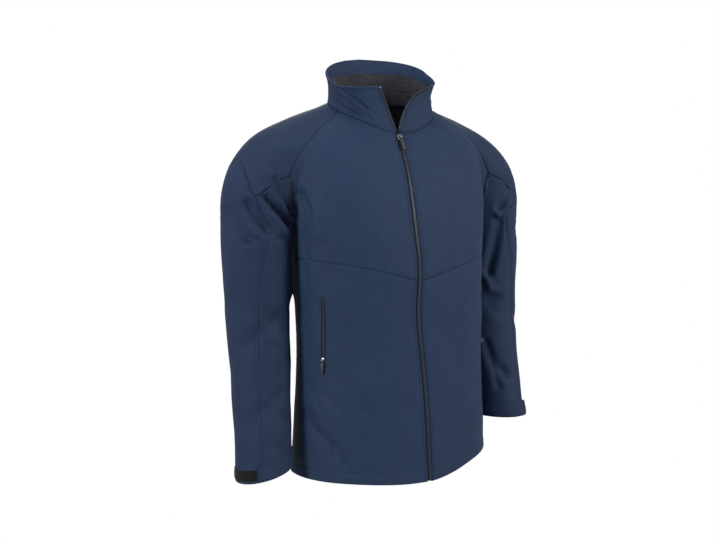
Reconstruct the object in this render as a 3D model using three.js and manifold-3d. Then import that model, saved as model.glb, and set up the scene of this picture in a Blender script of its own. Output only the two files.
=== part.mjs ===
// Men's softshell jacket, filled out as if worn, open at the collar.
// Millimetres. +Z up, the wearer faces -Y, +X is the wearer's left.
// The origin is the centre of the neck opening, at the height of the collar seam beside the neck.
import * as THREE from 'three';
import Module from 'manifold-3d';

const wasm = await Module();
wasm.setup();
const { Manifold } = wasm;

// Cloth
const WALL = 1.6; // bonded softshell, thickness
const SEAM_GAP = 0.34; // between two sewn pieces
const LAYER_GAP = 0.3; // between a piece and what lies on it

// Torso
const AXIS_Y = -35; // the torso's axis lies in front of the neck
const TORSO_POWER = 2.25; // 2 is an ellipse, more is squarer
const TORSO = sampler(['z', 'x', 'half', 'front', 'back'], [
  [-760, 2, 206, 149, 134],
  [-600, 4, 199, 138, 127],
  [-500, 5, 196, 132, 124],
  [-400, 4, 198, 130, 128],
  [-320, 2, 202, 131, 136],
  [-250, 0, 208, 129, 142],
  [-180, 0, 212, 122, 144],
  [-120, 0, 208, 112, 140],
  [-60, 0, 198, 98, 132],
  [0, 0, 180, 84, 120],
  [60, 0, 150, 60, 110],
]);

// Arms: centre and half sizes of the level section at each height
const ARM_COLUMNS = ['z', 'x', 'y', 'half', 'depth'];
const ARM_RIGHT = sampler(ARM_COLUMNS, [
  [-760, -277, -44, 54, 54],
  [-620, -268, -18, 56, 57],
  [-520, -263, 2, 59, 62],
  [-420, -261, 15, 63, 68],
  [-330, -262, 18, 67, 74],
  [-250, -261, 17, 73, 79],
  [-180, -255, 17, 82, 82],
  [-120, -239, 18, 91, 84],
  [-60, -208, 20, 93, 84],
  [40, -165, 20, 104, 80],
]);
const ARM_LEFT = sampler(ARM_COLUMNS, [
  [-760, 270, -64, 52, 54],
  [-620, 268, -30, 55, 58],
  [-520, 266, -6, 59, 64],
  [-420, 267, 12, 63, 70],
  [-330, 270, 20, 67, 76],
  [-250, 268, 22, 73, 80],
  [-180, 263, 22, 85, 82],
  [-120, 243, 20, 99, 84],
  [-60, 208, 20, 98, 84],
  [40, 165, 20, 104, 80],
]);

// Shoulders: a roof over torso and arms, with a ridge from side to side
const RIDGE_Y = 34;
const RIDGE_TOP = 11;
const RIDGE_START = 73;
const RIDGE_SLOPE = 0.41;
const RIDGE_ROUND = 30; // how softly the two slopes meet at the middle
const TIP_X = 243; // where the ridge turns down into the sleeve
const TIP_RADIUS = 85;
const ROOF_BACK_RADIUS = 130;
const ROOF_FRONT_RADIUS = 84;
const ROOF_FRONT_GROWTH = 0.25;
const ROOF_REACH = 38;

// Armpits: below them a slot parts each sleeve from the body
const PIT_Z = -250;
const PIT_Y = 15;
const PIT_RISE = 46;
const PIT_HALF_WIDTH = 74;
const PIT_POWER = 3;
const SLOT_X = [120, 280]; // it lies between these
const SLOT_RATE = 0.3;
const SLOT_MOST = 6;
const SLOT_REACH = 1.2;
const SEAM_REACH = 3;
const BLEND_REACH = 26;
const BLEND_FADE = 130;

// Lines from inside the torso start on its axis, which lies further back beside the neck.
const AXIS_SHIFT = 55;
const AXIS_SHIFT_REACH = 150;
const AXIS_START = 20; // how far from the axis a line first looks for the cloth
const VIEW_Y = 10; // where lines to the front or the back start
const NORMAL_REACH = 6; // a sharp crease then does not turn the wall's inside

// Collar seam: an ellipse seen from above
const NECK_HALF = 111;
const NECK_DEPTH = 86;
const NECK_Y = -5;
const NECK_BELOW = -150; // lines up to the seam start at this height
const NECK_FRONT = 74; // degrees from the front to the front raglan seam
const NECK_BACK = 128; // and to the back one

// Zip line: its x at each height
const ZIP_LINE = sampler(['z', 'x'], [
  [-740, 12], [-640, 10], [-573, 8], [-507, 3], [-457, -2], [-407, -5],
  [-355, -2], [-310, -2], [-260, -7], [-200, -9], [-150, -9], [-78, -10],
]);
const FRONT_EDGE = 5; // from the zip line to each front's edge
const CHEST_SEAM_Z = -352; // at the zip
const CHEST_SEAM_RISE = 42; // up to the side seam
const CHEST_SEAM_POWER = 1.3;
const CHEST_TURN = 98; // degrees round the torso from the zip to the side seam
const SIDE_X = 205;
const SIDE_Y = 8;
const SIDE_START = 60;
const SIDE_UPPER_STEPS = 3;
const SIDE_LOWER_STEPS = 13;

// Hem: its height round the body, angle 0 at the front, 90 at the wearer's left
const HEM = sampler(['angle', 'z'], [
  [-225, -728], [-180, -738], [-135, -737], [-90, -731], [-55, -731], [-20, -736],
  [0, -737], [20, -731], [45, -712], [65, -703], [90, -706], [135, -728], [180, -738], [225, -737],
]);

const HEM_START = 3;
const HEM_TURN = 102;

// Folds: a soft trough (or a ridge, if its depth is less than 0) from one point to another
const FOLD_COLUMNS = ['x1', 'y1', 'z1', 'x2', 'y2', 'z2', 'width', 'depth'];
const FOLDS = [
  [-264, -68, -196, -224, -62, -244, 13, 7],
  [-280, -66, -180, -240, -72, -222, 12, -4],
  [-318, 0, -214, -300, -44, -268, 13, 6],
  [-300, -40, -206, -268, -66, -262, 11, 6],
  [-246, -50, -420, -306, -34, -470, 16, 4],
  [-248, -60, -560, -302, -60, -610, 15, 4],
  [-196, -60, -610, -160, -136, -690, 13, 5],
  [-182, -90, -560, -150, -140, -600, 12, 3],
  [-252, -60, -164, -214, -46, -226, 10, 6],
  [298, -42, -196, 254, -54, -234, 10, -4],
  [286, -44, -172, 258, -58, -214, 11, 6],
  [262, -58, -240, 240, -52, -330, 13, 5],
  [318, 2, -240, 300, -44, -296, 13, 5],
  [246, -48, -410, 306, -30, -462, 16, 4],
  [230, -60, -520, 256, -76, -564, 13, 4],
  [-212, 84, -246, -276, 88, -194, 13, 6],
  [-222, 82, -286, -300, 66, -238, 14, 5],
  [-238, 84, -430, -302, 62, -470, 16, 4],
  [214, 84, -250, 280, 86, -200, 13, 6],
  [224, 82, -292, 304, 64, -250, 14, 5],
  [242, 78, -400, 306, 54, -446, 16, 4],
  [-186, 66, -300, -118, 98, -384, 16, 5],
  [188, 64, -312, 124, 96, -402, 16, 5],
  [-120, 92, -520, -36, 96, -548, 18, 4],
  [58, 94, -560, 136, 82, -604, 18, 4],
  [-66, 98, -636, -84, 98, -716, 16, 3],
].map((row) => Object.fromEntries(FOLD_COLUMNS.map((name, i) => [name, row[i]])));

// Raglan seams from the collar to the armpit, seen from the front and from the back
const RAGLAN_FRONT = [
  [131, -46], [153, -60], [172, -75], [188, -90], [201, -106], [211, -122], [219, -137],
  [225, -152], [224, -170], [218, -188], [212, -207],
];
const RAGLAN_BACK = [
  [112, -20], [138, -36], [161, -53], [180, -71], [195, -90], [206, -110], [212, -131],
  [214, -152], [211, -170], [204, -188], [196, -207], [189, -228],
];
const YOKE_STEPS = 8; // seam points from the collar to the sleeve's cross seam
const YOKE_INSIDE = { near: [70, 10, -120], far: [232, 18, -190], start: 90, reach: 170 };

// Sleeve seams: the angle round the arm at each height, 0 outward, 90 to the front
const SLEEVE_TOP_Z = -188; // the corner where cross seam and sleeve seam meet
const CROSS_TOP_Z = -120;
const CROSS_ANGLES = [61, 46, 31, 23, 15, 8, 0, -8, -15, -23, -31, -46, -61];
const CROSS_SIDE = 2; // its steps at each end that run down the sleeve's sides
const CROSS_ANGLE = 84;
const CROSS_Z = -168;
const SLEEVE_SEAM_FRONT = sampler(['z', 'angle'], [
  [-740, 68], [-600, 66], [-500, 67], [-400, 70], [-327, 78], [-238, 87], [-218, 72], [-188, 61],
]);
const SLEEVE_SEAM_BACK = sampler(['z', 'angle'], [
  [-740, -100], [-500, -100], [-330, -96], [-240, -84], [-188, -61],
]);
const SLEEVE_STEPS = 17;
const CUFF_LEVEL = -720; // where the seams' angles at the cuff are read
const CUFF_RIGHT = { z: -716, tilt: -13 };
const CUFF_LEFT = { z: -655, tilt: -2 };

// Collar
const COLLAR_COLUMNS = ['angle', 'x', 'y', 'z'];
const RIM_RIGHT = sampler(COLLAR_COLUMNS, [
  [0, -48, -82, 18], [40, -90, -74, 15], [60, -108, -58, 16], [75, -116, -37, 20],
  [90, -116, -8, 31], [115, -104, 32, 48], [140, -76, 64, 64], [160, -40, 81, 74], [180, 0, 86, 79],
]);
const RIM_LEFT = sampler(COLLAR_COLUMNS, [
  [0, 80, -70, 20], [40, 96, -54, 28], [60, 102, -36, 37], [75, 105, -14, 46],
  [90, 104, 8, 57], [115, 95, 42, 68], [140, 71, 68, 75], [160, 38, 82, 78], [180, 0, 86, 79],
]);
const FLOP = { x: -18, y: -10, z: 12, angle: 55 }; // how the wearer's left front edge bends outward
const COLLAR_BULGE = 4;
const COLLAR_STEPS = [0, 0.22, 0.44, 0.66, 0.84, 1];
const FACING_ROWS = 2; // the band of self fabric inside the top edge
const COLLAR_INSET = 0.02;
const LINING_WALL = 1.5;

// Zip
const TEETH_HALF = 3.9;
const TEETH_FRONT = 1.1;
const TEETH_BACK = -1.5;
const ZIP_STEPS = 24;
const HEM_CLEAR = 2;
const COLLAR_TEETH = { near: 0.5, far: 3.9, from: 0.07, to: 0.985, steps: 10 };
const TAPE_EDGE = -4.75; // from a front's edge, towards the teeth
const TAPE_DEEP = 12; // and under the cloth
const TAPE_LIFT = -WALL - LAYER_GAP;
const TAPE_WALL = 0.8;
const FLAP_LIFT = TAPE_LIFT - TAPE_WALL - LAYER_GAP;
const FLAP_WALL = 1.2;
const FLAP_RIGHT = 16;
const FLAP_LEFT = 9;

// Sliders and pull tabs. Lift is the height of the plate over the cloth.
const MAIN_SLIDER = {
  z: -80, stem: 8.6, plate: 11.2, length: 13, lift: 1.5, back: TEETH_BACK, tab: [7.2, 28],
};
const POCKET_SLIDER = {
  stem: 3.4, plate: 7, length: 9, lift: 2.2, back: 0.4, tab: [6, 26],
};
const PLATE_WALL = 1.8;
const RUNNING = 0.5;
const PIN_RADIUS = 0.9;
const BRIDGE = { width: 2.6, post: 1.2, top: 1.2, sink: 0.5 };
const EYE = { half: 1.9, length: 5 };
const PIN_SIDES = 16;

// Pockets: a zip and its welt on each lower front, by the front's own columns and rows
const POCKET_ROWS = [2, 3, 4, 5, 6];
const WELT_COLUMNS = [5.8, 6, 6.4];
const WELT = [1.6, 0.3];
const POCKET_ZIP_COLUMNS = [5.66, 5.71, 5.76];
const POCKET_ZIP_ROWS = [2, 3, 4, 5, 5.6];
const POCKET_ZIP = [1.1, 0.3];
const POCKET_SLIDER_AT = [5.71, 5.78];

// Cuffs: a loop strip on the outer sleeve and a tab that closes over the front seam
const STRIP_COLUMNS = [0.7, 1, 2, 3, 4, 4.3];
const STRIP_HEIGHT = [26, 5];
const STRIP = [1.3, 0.3];
const TAB_HEIGHT = [34, 1];
const TAB_START = 0.45; // columns of the outer sleeve, on the other side of the front seam
const TAB_COLUMNS = 11;
const TAB_LIFT = 0.35;
const TAB_WALL = 1.8;
const TAB_FLARE = { right: 4, left: 9, reach: 5 };

const NAVY = 0x2d3d57;
const NAVY_DARK = 0x232f44;
const FLEECE = 0x4a4748;
const BLACK = 0x101113;
const TEETH_COLOUR = 0x4c5266;
const METAL = 0x9a9da3;

const point = (x, y, z) => new THREE.Vector3(x, y, z);
const radians = THREE.MathUtils.degToRad;
const lerp = THREE.MathUtils.lerp;
const UP = point(0, 0, 1);

// Reads a table whose first column rises, as a smooth curve through its rows.
function sampler(names, rows) {
  const last = rows.length - 1;
  const slope = (i, c) => {
    const low = rows[Math.max(i - 1, 0)];
    const high = rows[Math.min(i + 1, last)];
    return (high[c] - low[c]) / (high[0] - low[0]);
  };
  return (at) => {
    let i = 0;
    while (i < last - 1 && at > rows[i + 1][0]) i += 1;
    const span = rows[i + 1][0] - rows[i][0];
    const t = Math.min(Math.max((at - rows[i][0]) / span, 0), 1);
    const out = {};
    for (let c = 1; c < names.length; c += 1) {
      const a = rows[i][c];
      const b = rows[i + 1][c];
      const ease = t * t * (3 - 2 * t);
      const start = t * (1 - t) ** 2 * span * slope(i, c);
      const end = t * t * (1 - t) * span * slope(i + 1, c);
      out[names[c]] = a + (b - a) * ease + start - end;
    }
    return out;
  };
}

const smoothMin = (a, b, reach) => 0.5 * (a + b - Math.hypot(a - b, reach));
const smoothMax = (a, b, reach) => 0.5 * (a + b + Math.hypot(a - b, reach));

function easeStep(value) {
  const t = Math.min(Math.max(value, 0), 1);
  return t * t * (3 - 2 * t);
}

function tubeDistance(x, y, half, depth, power) {
  const ratio = (Math.abs(x / half) ** power + Math.abs(y / depth) ** power) ** (1 / power);
  return Math.hypot(x, y) * (1 - 1 / Math.max(ratio, 1e-3));
}

function torsoDistance(p) {
  const s = TORSO(p.z);
  const y = p.y - AXIS_Y;
  return tubeDistance(p.x - s.x, y, s.half, y < 0 ? s.front : s.back, TORSO_POWER);
}

function armDistance(p, arm) {
  const s = arm(p.z);
  return tubeDistance(p.x - s.x, p.y - s.y, s.half, s.depth, 2);
}

function roofDistance(p) {
  const out = Math.hypot(p.x, RIDGE_ROUND);
  const past = 0.5 * (out - TIP_X + Math.hypot(out - TIP_X, RIDGE_ROUND));
  const ridge = RIDGE_TOP - RIDGE_SLOPE * (out - RIDGE_START) - past ** 2 / (2 * TIP_RADIUS);
  const dy = p.y - RIDGE_Y;
  const radius = dy < 0 ? ROOF_FRONT_RADIUS + ROOF_FRONT_GROWTH * out : ROOF_BACK_RADIUS;
  const slope = Math.hypot(1, RIDGE_SLOPE + past / TIP_RADIUS, dy / radius);
  return (p.z - ridge + dy ** 2 / (2 * radius)) / slope;
}

function slotTop(y) {
  return PIT_Z + PIT_RISE * Math.abs((y - PIT_Y) / PIT_HALF_WIDTH) ** PIT_POWER;
}

function foldDepth(p) {
  let sum = 0;
  for (const f of FOLDS) {
    const dx = f.x2 - f.x1;
    const dy = f.y2 - f.y1;
    const dz = f.z2 - f.z1;
    const along = ((p.x - f.x1) * dx + (p.y - f.y1) * dy + (p.z - f.z1) * dz) / (dx * dx + dy * dy + dz * dz);
    const t = Math.min(Math.max(along, 0), 1);
    const off = Math.hypot(p.x - f.x1 - t * dx, p.y - f.y1 - t * dy, p.z - f.z1 - t * dz);
    sum += f.depth * Math.exp(-((off / f.width) ** 2));
  }
  return sum;
}

// The garment's outer form: less than 0 inside it, 0 on the cloth.
function garment(p) {
  const torso = torsoDistance(p);
  const right = armDistance(p, ARM_RIGHT);
  const left = armDistance(p, ARM_LEFT);
  const below = slotTop(p.y) - p.z;
  const reach = SEAM_REACH + BLEND_REACH * easeStep(-below / BLEND_FADE);
  let form = smoothMin(smoothMin(torso, right, reach), left, reach);
  form = smoothMax(form, roofDistance(p), ROOF_REACH);
  if (below > 0) {
    const slot = Math.min(SLOT_MOST, SLOT_RATE * below);
    form = smoothMax(form, 0.5 * (slot - Math.abs(torso - Math.min(right, left))), SLOT_REACH);
  }
  return form + foldDepth(p);
}

// The first place where a line from inside leaves the form.
function leave(origin, toward, start = 0, most = 500) {
  const direction = toward.clone().normalize();
  const at = (t) => origin.clone().addScaledVector(direction, t);
  const step = 4;
  let near = start;
  while (near < most && garment(at(near + step)) < 0) near += step;
  let low = near;
  let high = near + step;
  for (let i = 0; i < 26; i += 1) {
    const middle = 0.5 * (low + high);
    if (garment(at(middle)) < 0) low = middle;
    else high = middle;
  }
  return at(0.5 * (low + high));
}

function outward(p) {
  const g = point(0, 0, 0);
  for (const axis of ['x', 'y', 'z']) {
    const a = p.clone();
    const b = p.clone();
    a[axis] += NORMAL_REACH;
    b[axis] -= NORMAL_REACH;
    g[axis] = garment(a) - garment(b);
  }
  return g.normalize();
}

const onCloth = (p) => ({ p, n: outward(p) });

function fromTorso(q) {
  const shift = AXIS_SHIFT * easeStep(1 + q.z / AXIS_SHIFT_REACH);
  const origin = point(0, AXIS_Y + shift, q.z);
  return onCloth(leave(origin, q.clone().sub(origin), AXIS_START));
}

function fromFrontView(x, z, facing) {
  return onCloth(leave(point(x, VIEW_Y, z), point(0, facing, 0)));
}

const arms = {
  right: { side: -1, section: ARM_RIGHT, cuff: CUFF_RIGHT },
  left: { side: 1, section: ARM_LEFT, cuff: CUFF_LEFT },
};

function fromArm(arm, angle, z) {
  const s = arm.section(z);
  const turn = radians(angle);
  return onCloth(leave(point(s.x, s.y, z), point(arm.side * Math.cos(turn), -Math.sin(turn), 0)));
}

function throughArm(arm, q) {
  const s = arm.section(q.z);
  const origin = point(s.x, s.y, q.z);
  return onCloth(leave(origin, q.clone().sub(origin)));
}

function cuffHeight(arm, angle) {
  return arm.cuff.z + arm.cuff.tilt * Math.cos(radians(angle));
}

// Where body and sleeve part under the arm
function slotPoint(side, y) {
  const z = slotTop(y);
  const arm = side < 0 ? ARM_RIGHT : ARM_LEFT;
  let [low, high] = SLOT_X;
  for (let i = 0; i < 40; i += 1) {
    const x = 0.5 * (low + high);
    const q = point(side * x, y, z);
    if (torsoDistance(q) < armDistance(q, arm)) low = x;
    else high = x;
  }
  return { p: point(side * 0.5 * (low + high), y, z), n: point(0, 0, -1) };
}

// How far to the front or the back the slot's top stays inside the form
function slotEdge(side, facing) {
  let near = PIT_Y;
  let far = PIT_Y + facing * PIT_HALF_WIDTH;
  for (let i = 0; i < 30; i += 1) {
    const y = 0.5 * (near + far);
    if (garment(slotPoint(side, y).p) < 0) near = y;
    else far = y;
  }
  return near;
}

// Collar seam
function neckPoint(side, angle) {
  const turn = radians(angle);
  const x = side * NECK_HALF * Math.sin(turn);
  const y = NECK_Y - NECK_DEPTH * Math.cos(turn);
  return onCloth(leave(point(x, y, NECK_BELOW), UP));
}

const zipX = (z) => ZIP_LINE(z).x;

function edgeAngle(side) {
  const x = zipX(MAIN_SLIDER.z) + side * FRONT_EDGE;
  return THREE.MathUtils.radToDeg(Math.asin((side * x) / NECK_HALF));
}

const FRONT_COLUMNS = 8;
const BACK_COLUMNS = 14;
const NECK_COLUMNS = 4 + CROSS_ANGLES.length - 1;

function neckRun(side, from, to, steps) {
  return Array.from({ length: steps + 1 }, (_, i) => neckPoint(side, lerp(from, to, i / steps)));
}

// Seams, each a list of points that both of its pieces share
function raglan(side, facing) {
  const table = facing < 0 ? RAGLAN_FRONT : RAGLAN_BACK;
  const slotEnd = slotEdge(side, facing);
  return [
    neckPoint(side, facing < 0 ? NECK_FRONT : NECK_BACK),
    ...table.map(([x, z]) => fromFrontView(side * x, z, facing)),
    ...[0, 0.5, 1].map((t) => slotPoint(side, lerp(slotEnd, PIT_Y, t))),
  ];
}

const chestSeamZ = (x) => CHEST_SEAM_Z + CHEST_SEAM_RISE * (Math.abs(x) / SIDE_X) ** CHEST_SEAM_POWER;

function sidePoint(side, z) {
  return onCloth(leave(point(side * SIDE_START, SIDE_Y, z), point(side, 0, 0)));
}

function hemHeight(p) {
  return HEM(THREE.MathUtils.radToDeg(Math.atan2(p.x, AXIS_Y - p.y))).z;
}

function sideSeam(side) {
  const chest = chestSeamZ(SIDE_X);
  const hem = hemHeight(point(side * SIDE_X, SIDE_Y, 0));
  const upper = Array.from({ length: SIDE_UPPER_STEPS }, (_, i) =>
    sidePoint(side, lerp(PIT_Z, chest, (i + 1) / SIDE_UPPER_STEPS)));
  const lower = Array.from({ length: SIDE_LOWER_STEPS }, (_, i) =>
    sidePoint(side, lerp(chest, hem, (i + 1) / SIDE_LOWER_STEPS)));
  return { upper, lower };
}

// A grid between four edges. Edges are lists of cloth points and are kept as they are.
function patch(edges, settle) {
  const { top, bottom, left, right } = edges;
  const rows = left.length;
  const columns = top.length;
  return Array.from({ length: rows }, (_, i) =>
    Array.from({ length: columns }, (_, j) => {
      if (i === 0) return top[j];
      if (i === rows - 1) return bottom[j];
      if (j === 0) return left[i];
      if (j === columns - 1) return right[i];
      const u = j / (columns - 1);
      const v = i / (rows - 1);
      const q = point(0, 0, 0)
        .addScaledVector(top[j].p, 1 - v).addScaledVector(bottom[j].p, v)
        .addScaledVector(left[i].p, 1 - u).addScaledVector(right[i].p, u)
        .addScaledVector(top[0].p, -(1 - u) * (1 - v)).addScaledVector(top[columns - 1].p, -u * (1 - v))
        .addScaledVector(bottom[0].p, -(1 - u) * v).addScaledVector(bottom[columns - 1].p, -u * v);
      return settle(q);
    }));
}

// The steps that draw a piece's edge back from its seams, by row and column.
function edgeSteps(grid, amount) {
  const rows = grid.length;
  const columns = grid[0].length;
  const loop = [];
  for (let j = 0; j < columns - 1; j += 1) loop.push([0, j]);
  for (let i = 0; i < rows - 1; i += 1) loop.push([i, columns - 1]);
  for (let j = columns - 1; j > 0; j -= 1) loop.push([rows - 1, j]);
  for (let i = rows - 1; i > 0; i -= 1) loop.push([i, 0]);
  const middle = grid[rows >> 1][columns >> 1];
  const down = grid[(rows >> 1) - 1][columns >> 1].p.clone().sub(middle.p).negate();
  const across = grid[rows >> 1][(columns >> 1) - 1].p.clone().sub(middle.p).negate();
  const turn = Math.sign(middle.n.clone().cross(across).dot(down));
  const inward = loop.map(([i, j], k) => {
    const [nextI, nextJ] = loop[(k + 1) % loop.length];
    const here = grid[i][j];
    const next = grid[nextI][nextJ];
    return here.n.clone().add(next.n).cross(next.p.clone().sub(here.p)).normalize().multiplyScalar(turn);
  });
  const steps = new Map();
  loop.forEach(([i, j], k) => {
    const before = inward[(k + loop.length - 1) % loop.length];
    const after = inward[k];
    const spread = Math.max(1 + before.dot(after), 0.4);
    steps.set(i * columns + j, before.clone().add(after).multiplyScalar(amount / spread));
  });
  return steps;
}

// A closed wall over a grid, from one distance off the cloth to another.
function wallGeometry(grid, outer, inner, gap = SEAM_GAP / 2) {
  const rows = grid.length;
  const columns = grid[0].length;
  const positions = [];
  const steps = edgeSteps(grid, gap);
  const still = point(0, 0, 0);
  for (const lift of [outer, inner]) {
    for (let i = 0; i < rows; i += 1) {
      for (let j = 0; j < columns; j += 1) {
        const c = grid[i][j];
        const p = c.p.clone().addScaledVector(c.n, lift).add(steps.get(i * columns + j) ?? still);
        positions.push(p.x, p.y, p.z);
      }
    }
  }
  const id = (layer, i, j) => (layer * rows + i) * columns + j;
  const index = [];
  for (let i = 0; i < rows - 1; i += 1) {
    for (let j = 0; j < columns - 1; j += 1) {
      const falling = grid[i][j].p.distanceTo(grid[i + 1][j + 1].p);
      const rising = grid[i + 1][j].p.distanceTo(grid[i][j + 1].p);
      for (const layer of [0, 1]) {
        const ring = [id(layer, i, j), id(layer, i + 1, j), id(layer, i + 1, j + 1), id(layer, i, j + 1)];
        if (rising < falling) ring.push(ring.shift());
        if (layer === 1) ring.reverse();
        const [a, b, c, d] = ring;
        if (layer === 1) index.push(b, c, d, b, d, a);
        else index.push(a, b, c, a, c, d);
      }
    }
  }
  // Both pieces at a seam split its side faces along the same diagonal.
  const side = (i, j, k, m) => {
    const a = grid[i][j];
    const b = grid[k][m];
    const reach = (c, cLift, d, dLift) =>
      c.p.clone().addScaledVector(c.n, cLift).distanceTo(d.p.clone().addScaledVector(d.n, dLift));
    const [a0, b0, a1, b1] = [id(0, i, j), id(0, k, m), id(1, i, j), id(1, k, m)];
    if (reach(a, outer, b, inner) < reach(a, inner, b, outer)) index.push(a0, b0, b1, a0, b1, a1);
    else index.push(a0, b0, a1, b0, b1, a1);
  };
  for (let j = 0; j < columns - 1; j += 1) {
    side(0, j, 0, j + 1);
    side(rows - 1, j + 1, rows - 1, j);
  }
  for (let i = 0; i < rows - 1; i += 1) {
    side(i + 1, 0, i, 0);
    side(i, columns - 1, i + 1, columns - 1);
  }
  return closedGeometry(positions, index);
}

// Turns the faces out, whichever way the grid runs.
function closedGeometry(positions, index) {
  let volume = 0;
  const at = (k) => point(positions[3 * k], positions[3 * k + 1], positions[3 * k + 2]);
  for (let i = 0; i < index.length; i += 3) {
    volume += at(index[i]).dot(at(index[i + 1]).cross(at(index[i + 2])));
  }
  const faces = volume < 0 ? index.slice().reverse() : index;
  const geometry = new THREE.BufferGeometry();
  geometry.setAttribute('position', new THREE.Float32BufferAttribute(positions, 3));
  geometry.setIndex(faces);
  geometry.computeVertexNormals();
  return geometry;
}

const jacket = new THREE.Group();

function add(name, geometry, colour, roughness = 0.9, metalness = 0) {
  const material = new THREE.MeshStandardMaterial({ color: colour, roughness, metalness });
  const mesh = new THREE.Mesh(geometry, material);
  mesh.name = name;
  jacket.add(mesh);
  return mesh;
}

const grids = {};

function addCloth(name, grid) {
  grids[name] = grid;
  add(name, wallGeometry(grid, 0, -WALL), NAVY);
}

// A place on a piece's grid, whole numbers being its own columns and rows
function onGrid(grid, column, row) {
  const i = Math.min(Math.floor(row), grid.length - 2);
  const j = Math.min(Math.floor(column), grid[0].length - 2);
  const u = column - j;
  const v = row - i;
  const mix = (key) => {
    const top = grid[i][j][key].clone().lerp(grid[i][j + 1][key], u);
    const bottom = grid[i + 1][j][key].clone().lerp(grid[i + 1][j + 1][key], u);
    return top.lerp(bottom, v);
  };
  return { p: mix('p'), n: mix('n').normalize() };
}

const gridPart = (grid, columns, rows) => rows.map((row) => columns.map((column) => onGrid(grid, column, row)));

// Sleeves
function sleeve(name, arm, seams) {
  const { side } = arm;
  const { front, back, neck } = seams;
  const crossZ = (angle) => lerp(CROSS_TOP_Z, SLEEVE_TOP_Z, (angle / CROSS_ANGLES[0]) ** 2);
  const cross = CROSS_ANGLES.map((angle) => fromArm(arm, angle, crossZ(angle)));
  const frontLeg = [front[YOKE_STEPS], fromArm(arm, CROSS_ANGLE, CROSS_Z)];
  const backLeg = [fromArm(arm, -CROSS_ANGLE, CROSS_Z), back[YOKE_STEPS]];
  const settleYoke = (q) => {
    const { near, far, start, reach } = YOKE_INSIDE;
    const t = Math.min(Math.max((Math.abs(q.x) - start) / reach, 0), 1);
    const origin = point(...near).lerp(point(...far), t);
    origin.x *= side;
    return onCloth(leave(origin, q.clone().sub(origin)));
  };
  addCloth(`shoulder_panel_${name}`, patch({
    top: neck,
    bottom: [...frontLeg, ...cross, ...backLeg],
    left: front.slice(0, YOKE_STEPS + 1),
    right: back.slice(0, YOKE_STEPS + 1),
  }, settleYoke));

  const seam = (angleAt, start) => Array.from({ length: SLEEVE_STEPS + 1 }, (_, i) => {
    if (i === 0) return start;
    const t = i / SLEEVE_STEPS;
    const z = lerp(SLEEVE_TOP_Z, cuffHeight(arm, angleAt(CUFF_LEVEL).angle), t);
    return fromArm(arm, angleAt(z).angle, z);
  });
  const frontSeam = seam(SLEEVE_SEAM_FRONT, cross[0]);
  const backSeam = seam(SLEEVE_SEAM_BACK, cross.at(-1));
  const cuffRun = (from, to, steps) => Array.from({ length: steps + 1 }, (_, i) => {
    if (i === 0) return frontSeam[SLEEVE_STEPS];
    if (i === steps) return backSeam[SLEEVE_STEPS];
    const angle = lerp(from, to, i / steps);
    return fromArm(arm, angle, cuffHeight(arm, angle));
  });
  const frontEnd = SLEEVE_SEAM_FRONT(CUFF_LEVEL).angle;
  const backEnd = SLEEVE_SEAM_BACK(CUFF_LEVEL).angle;
  const settleArm = (q) => throughArm(arm, q);
  const crossTop = cross.slice(CROSS_SIDE, -CROSS_SIDE);
  addCloth(`outer_sleeve_${name}`, patch({
    top: crossTop,
    bottom: cuffRun(frontEnd, backEnd, crossTop.length - 1),
    left: [...cross.slice(1, CROSS_SIDE + 1).reverse(), ...frontSeam],
    right: [...cross.slice(-CROSS_SIDE - 1, -1), ...backSeam],
  }, settleArm));

  const under = [
    cross[0], frontLeg[1], ...front.slice(YOKE_STEPS),
    ...back.slice(YOKE_STEPS, back.length - 1).reverse(), backLeg[0], cross.at(-1),
  ];
  addCloth(`under_sleeve_${name}`, patch({
    top: under,
    bottom: cuffRun(frontEnd, 360 + backEnd, under.length - 1),
    left: frontSeam,
    right: backSeam,
  }, settleArm));
}

// Fronts and back
const frontEdge = (side, z) => fromFrontView(zipX(z) + side * FRONT_EDGE, z, -1);

function chestSeam(side, sideStart) {
  return Array.from({ length: FRONT_COLUMNS + 1 }, (_, i) => {
    if (i === 0) return frontEdge(side, CHEST_SEAM_Z);
    if (i === FRONT_COLUMNS) return sideStart;
    const turn = radians(lerp(0, CHEST_TURN, i / FRONT_COLUMNS));
    const q = point(side * Math.sin(turn), AXIS_Y - Math.cos(turn), chestSeamZ(SIDE_X * Math.sin(turn)));
    return fromTorso(q);
  });
}

function hemRun(start, end, from, to, steps) {
  return Array.from({ length: steps + 1 }, (_, i) => {
    if (i === 0) return start;
    if (i === steps) return end;
    const angle = lerp(from, to, i / steps);
    const turn = radians(angle);
    const { z } = HEM(angle < -180 ? angle + 360 : angle);
    return fromTorso(point(Math.sin(turn), AXIS_Y - Math.cos(turn), z));
  });
}

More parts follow.
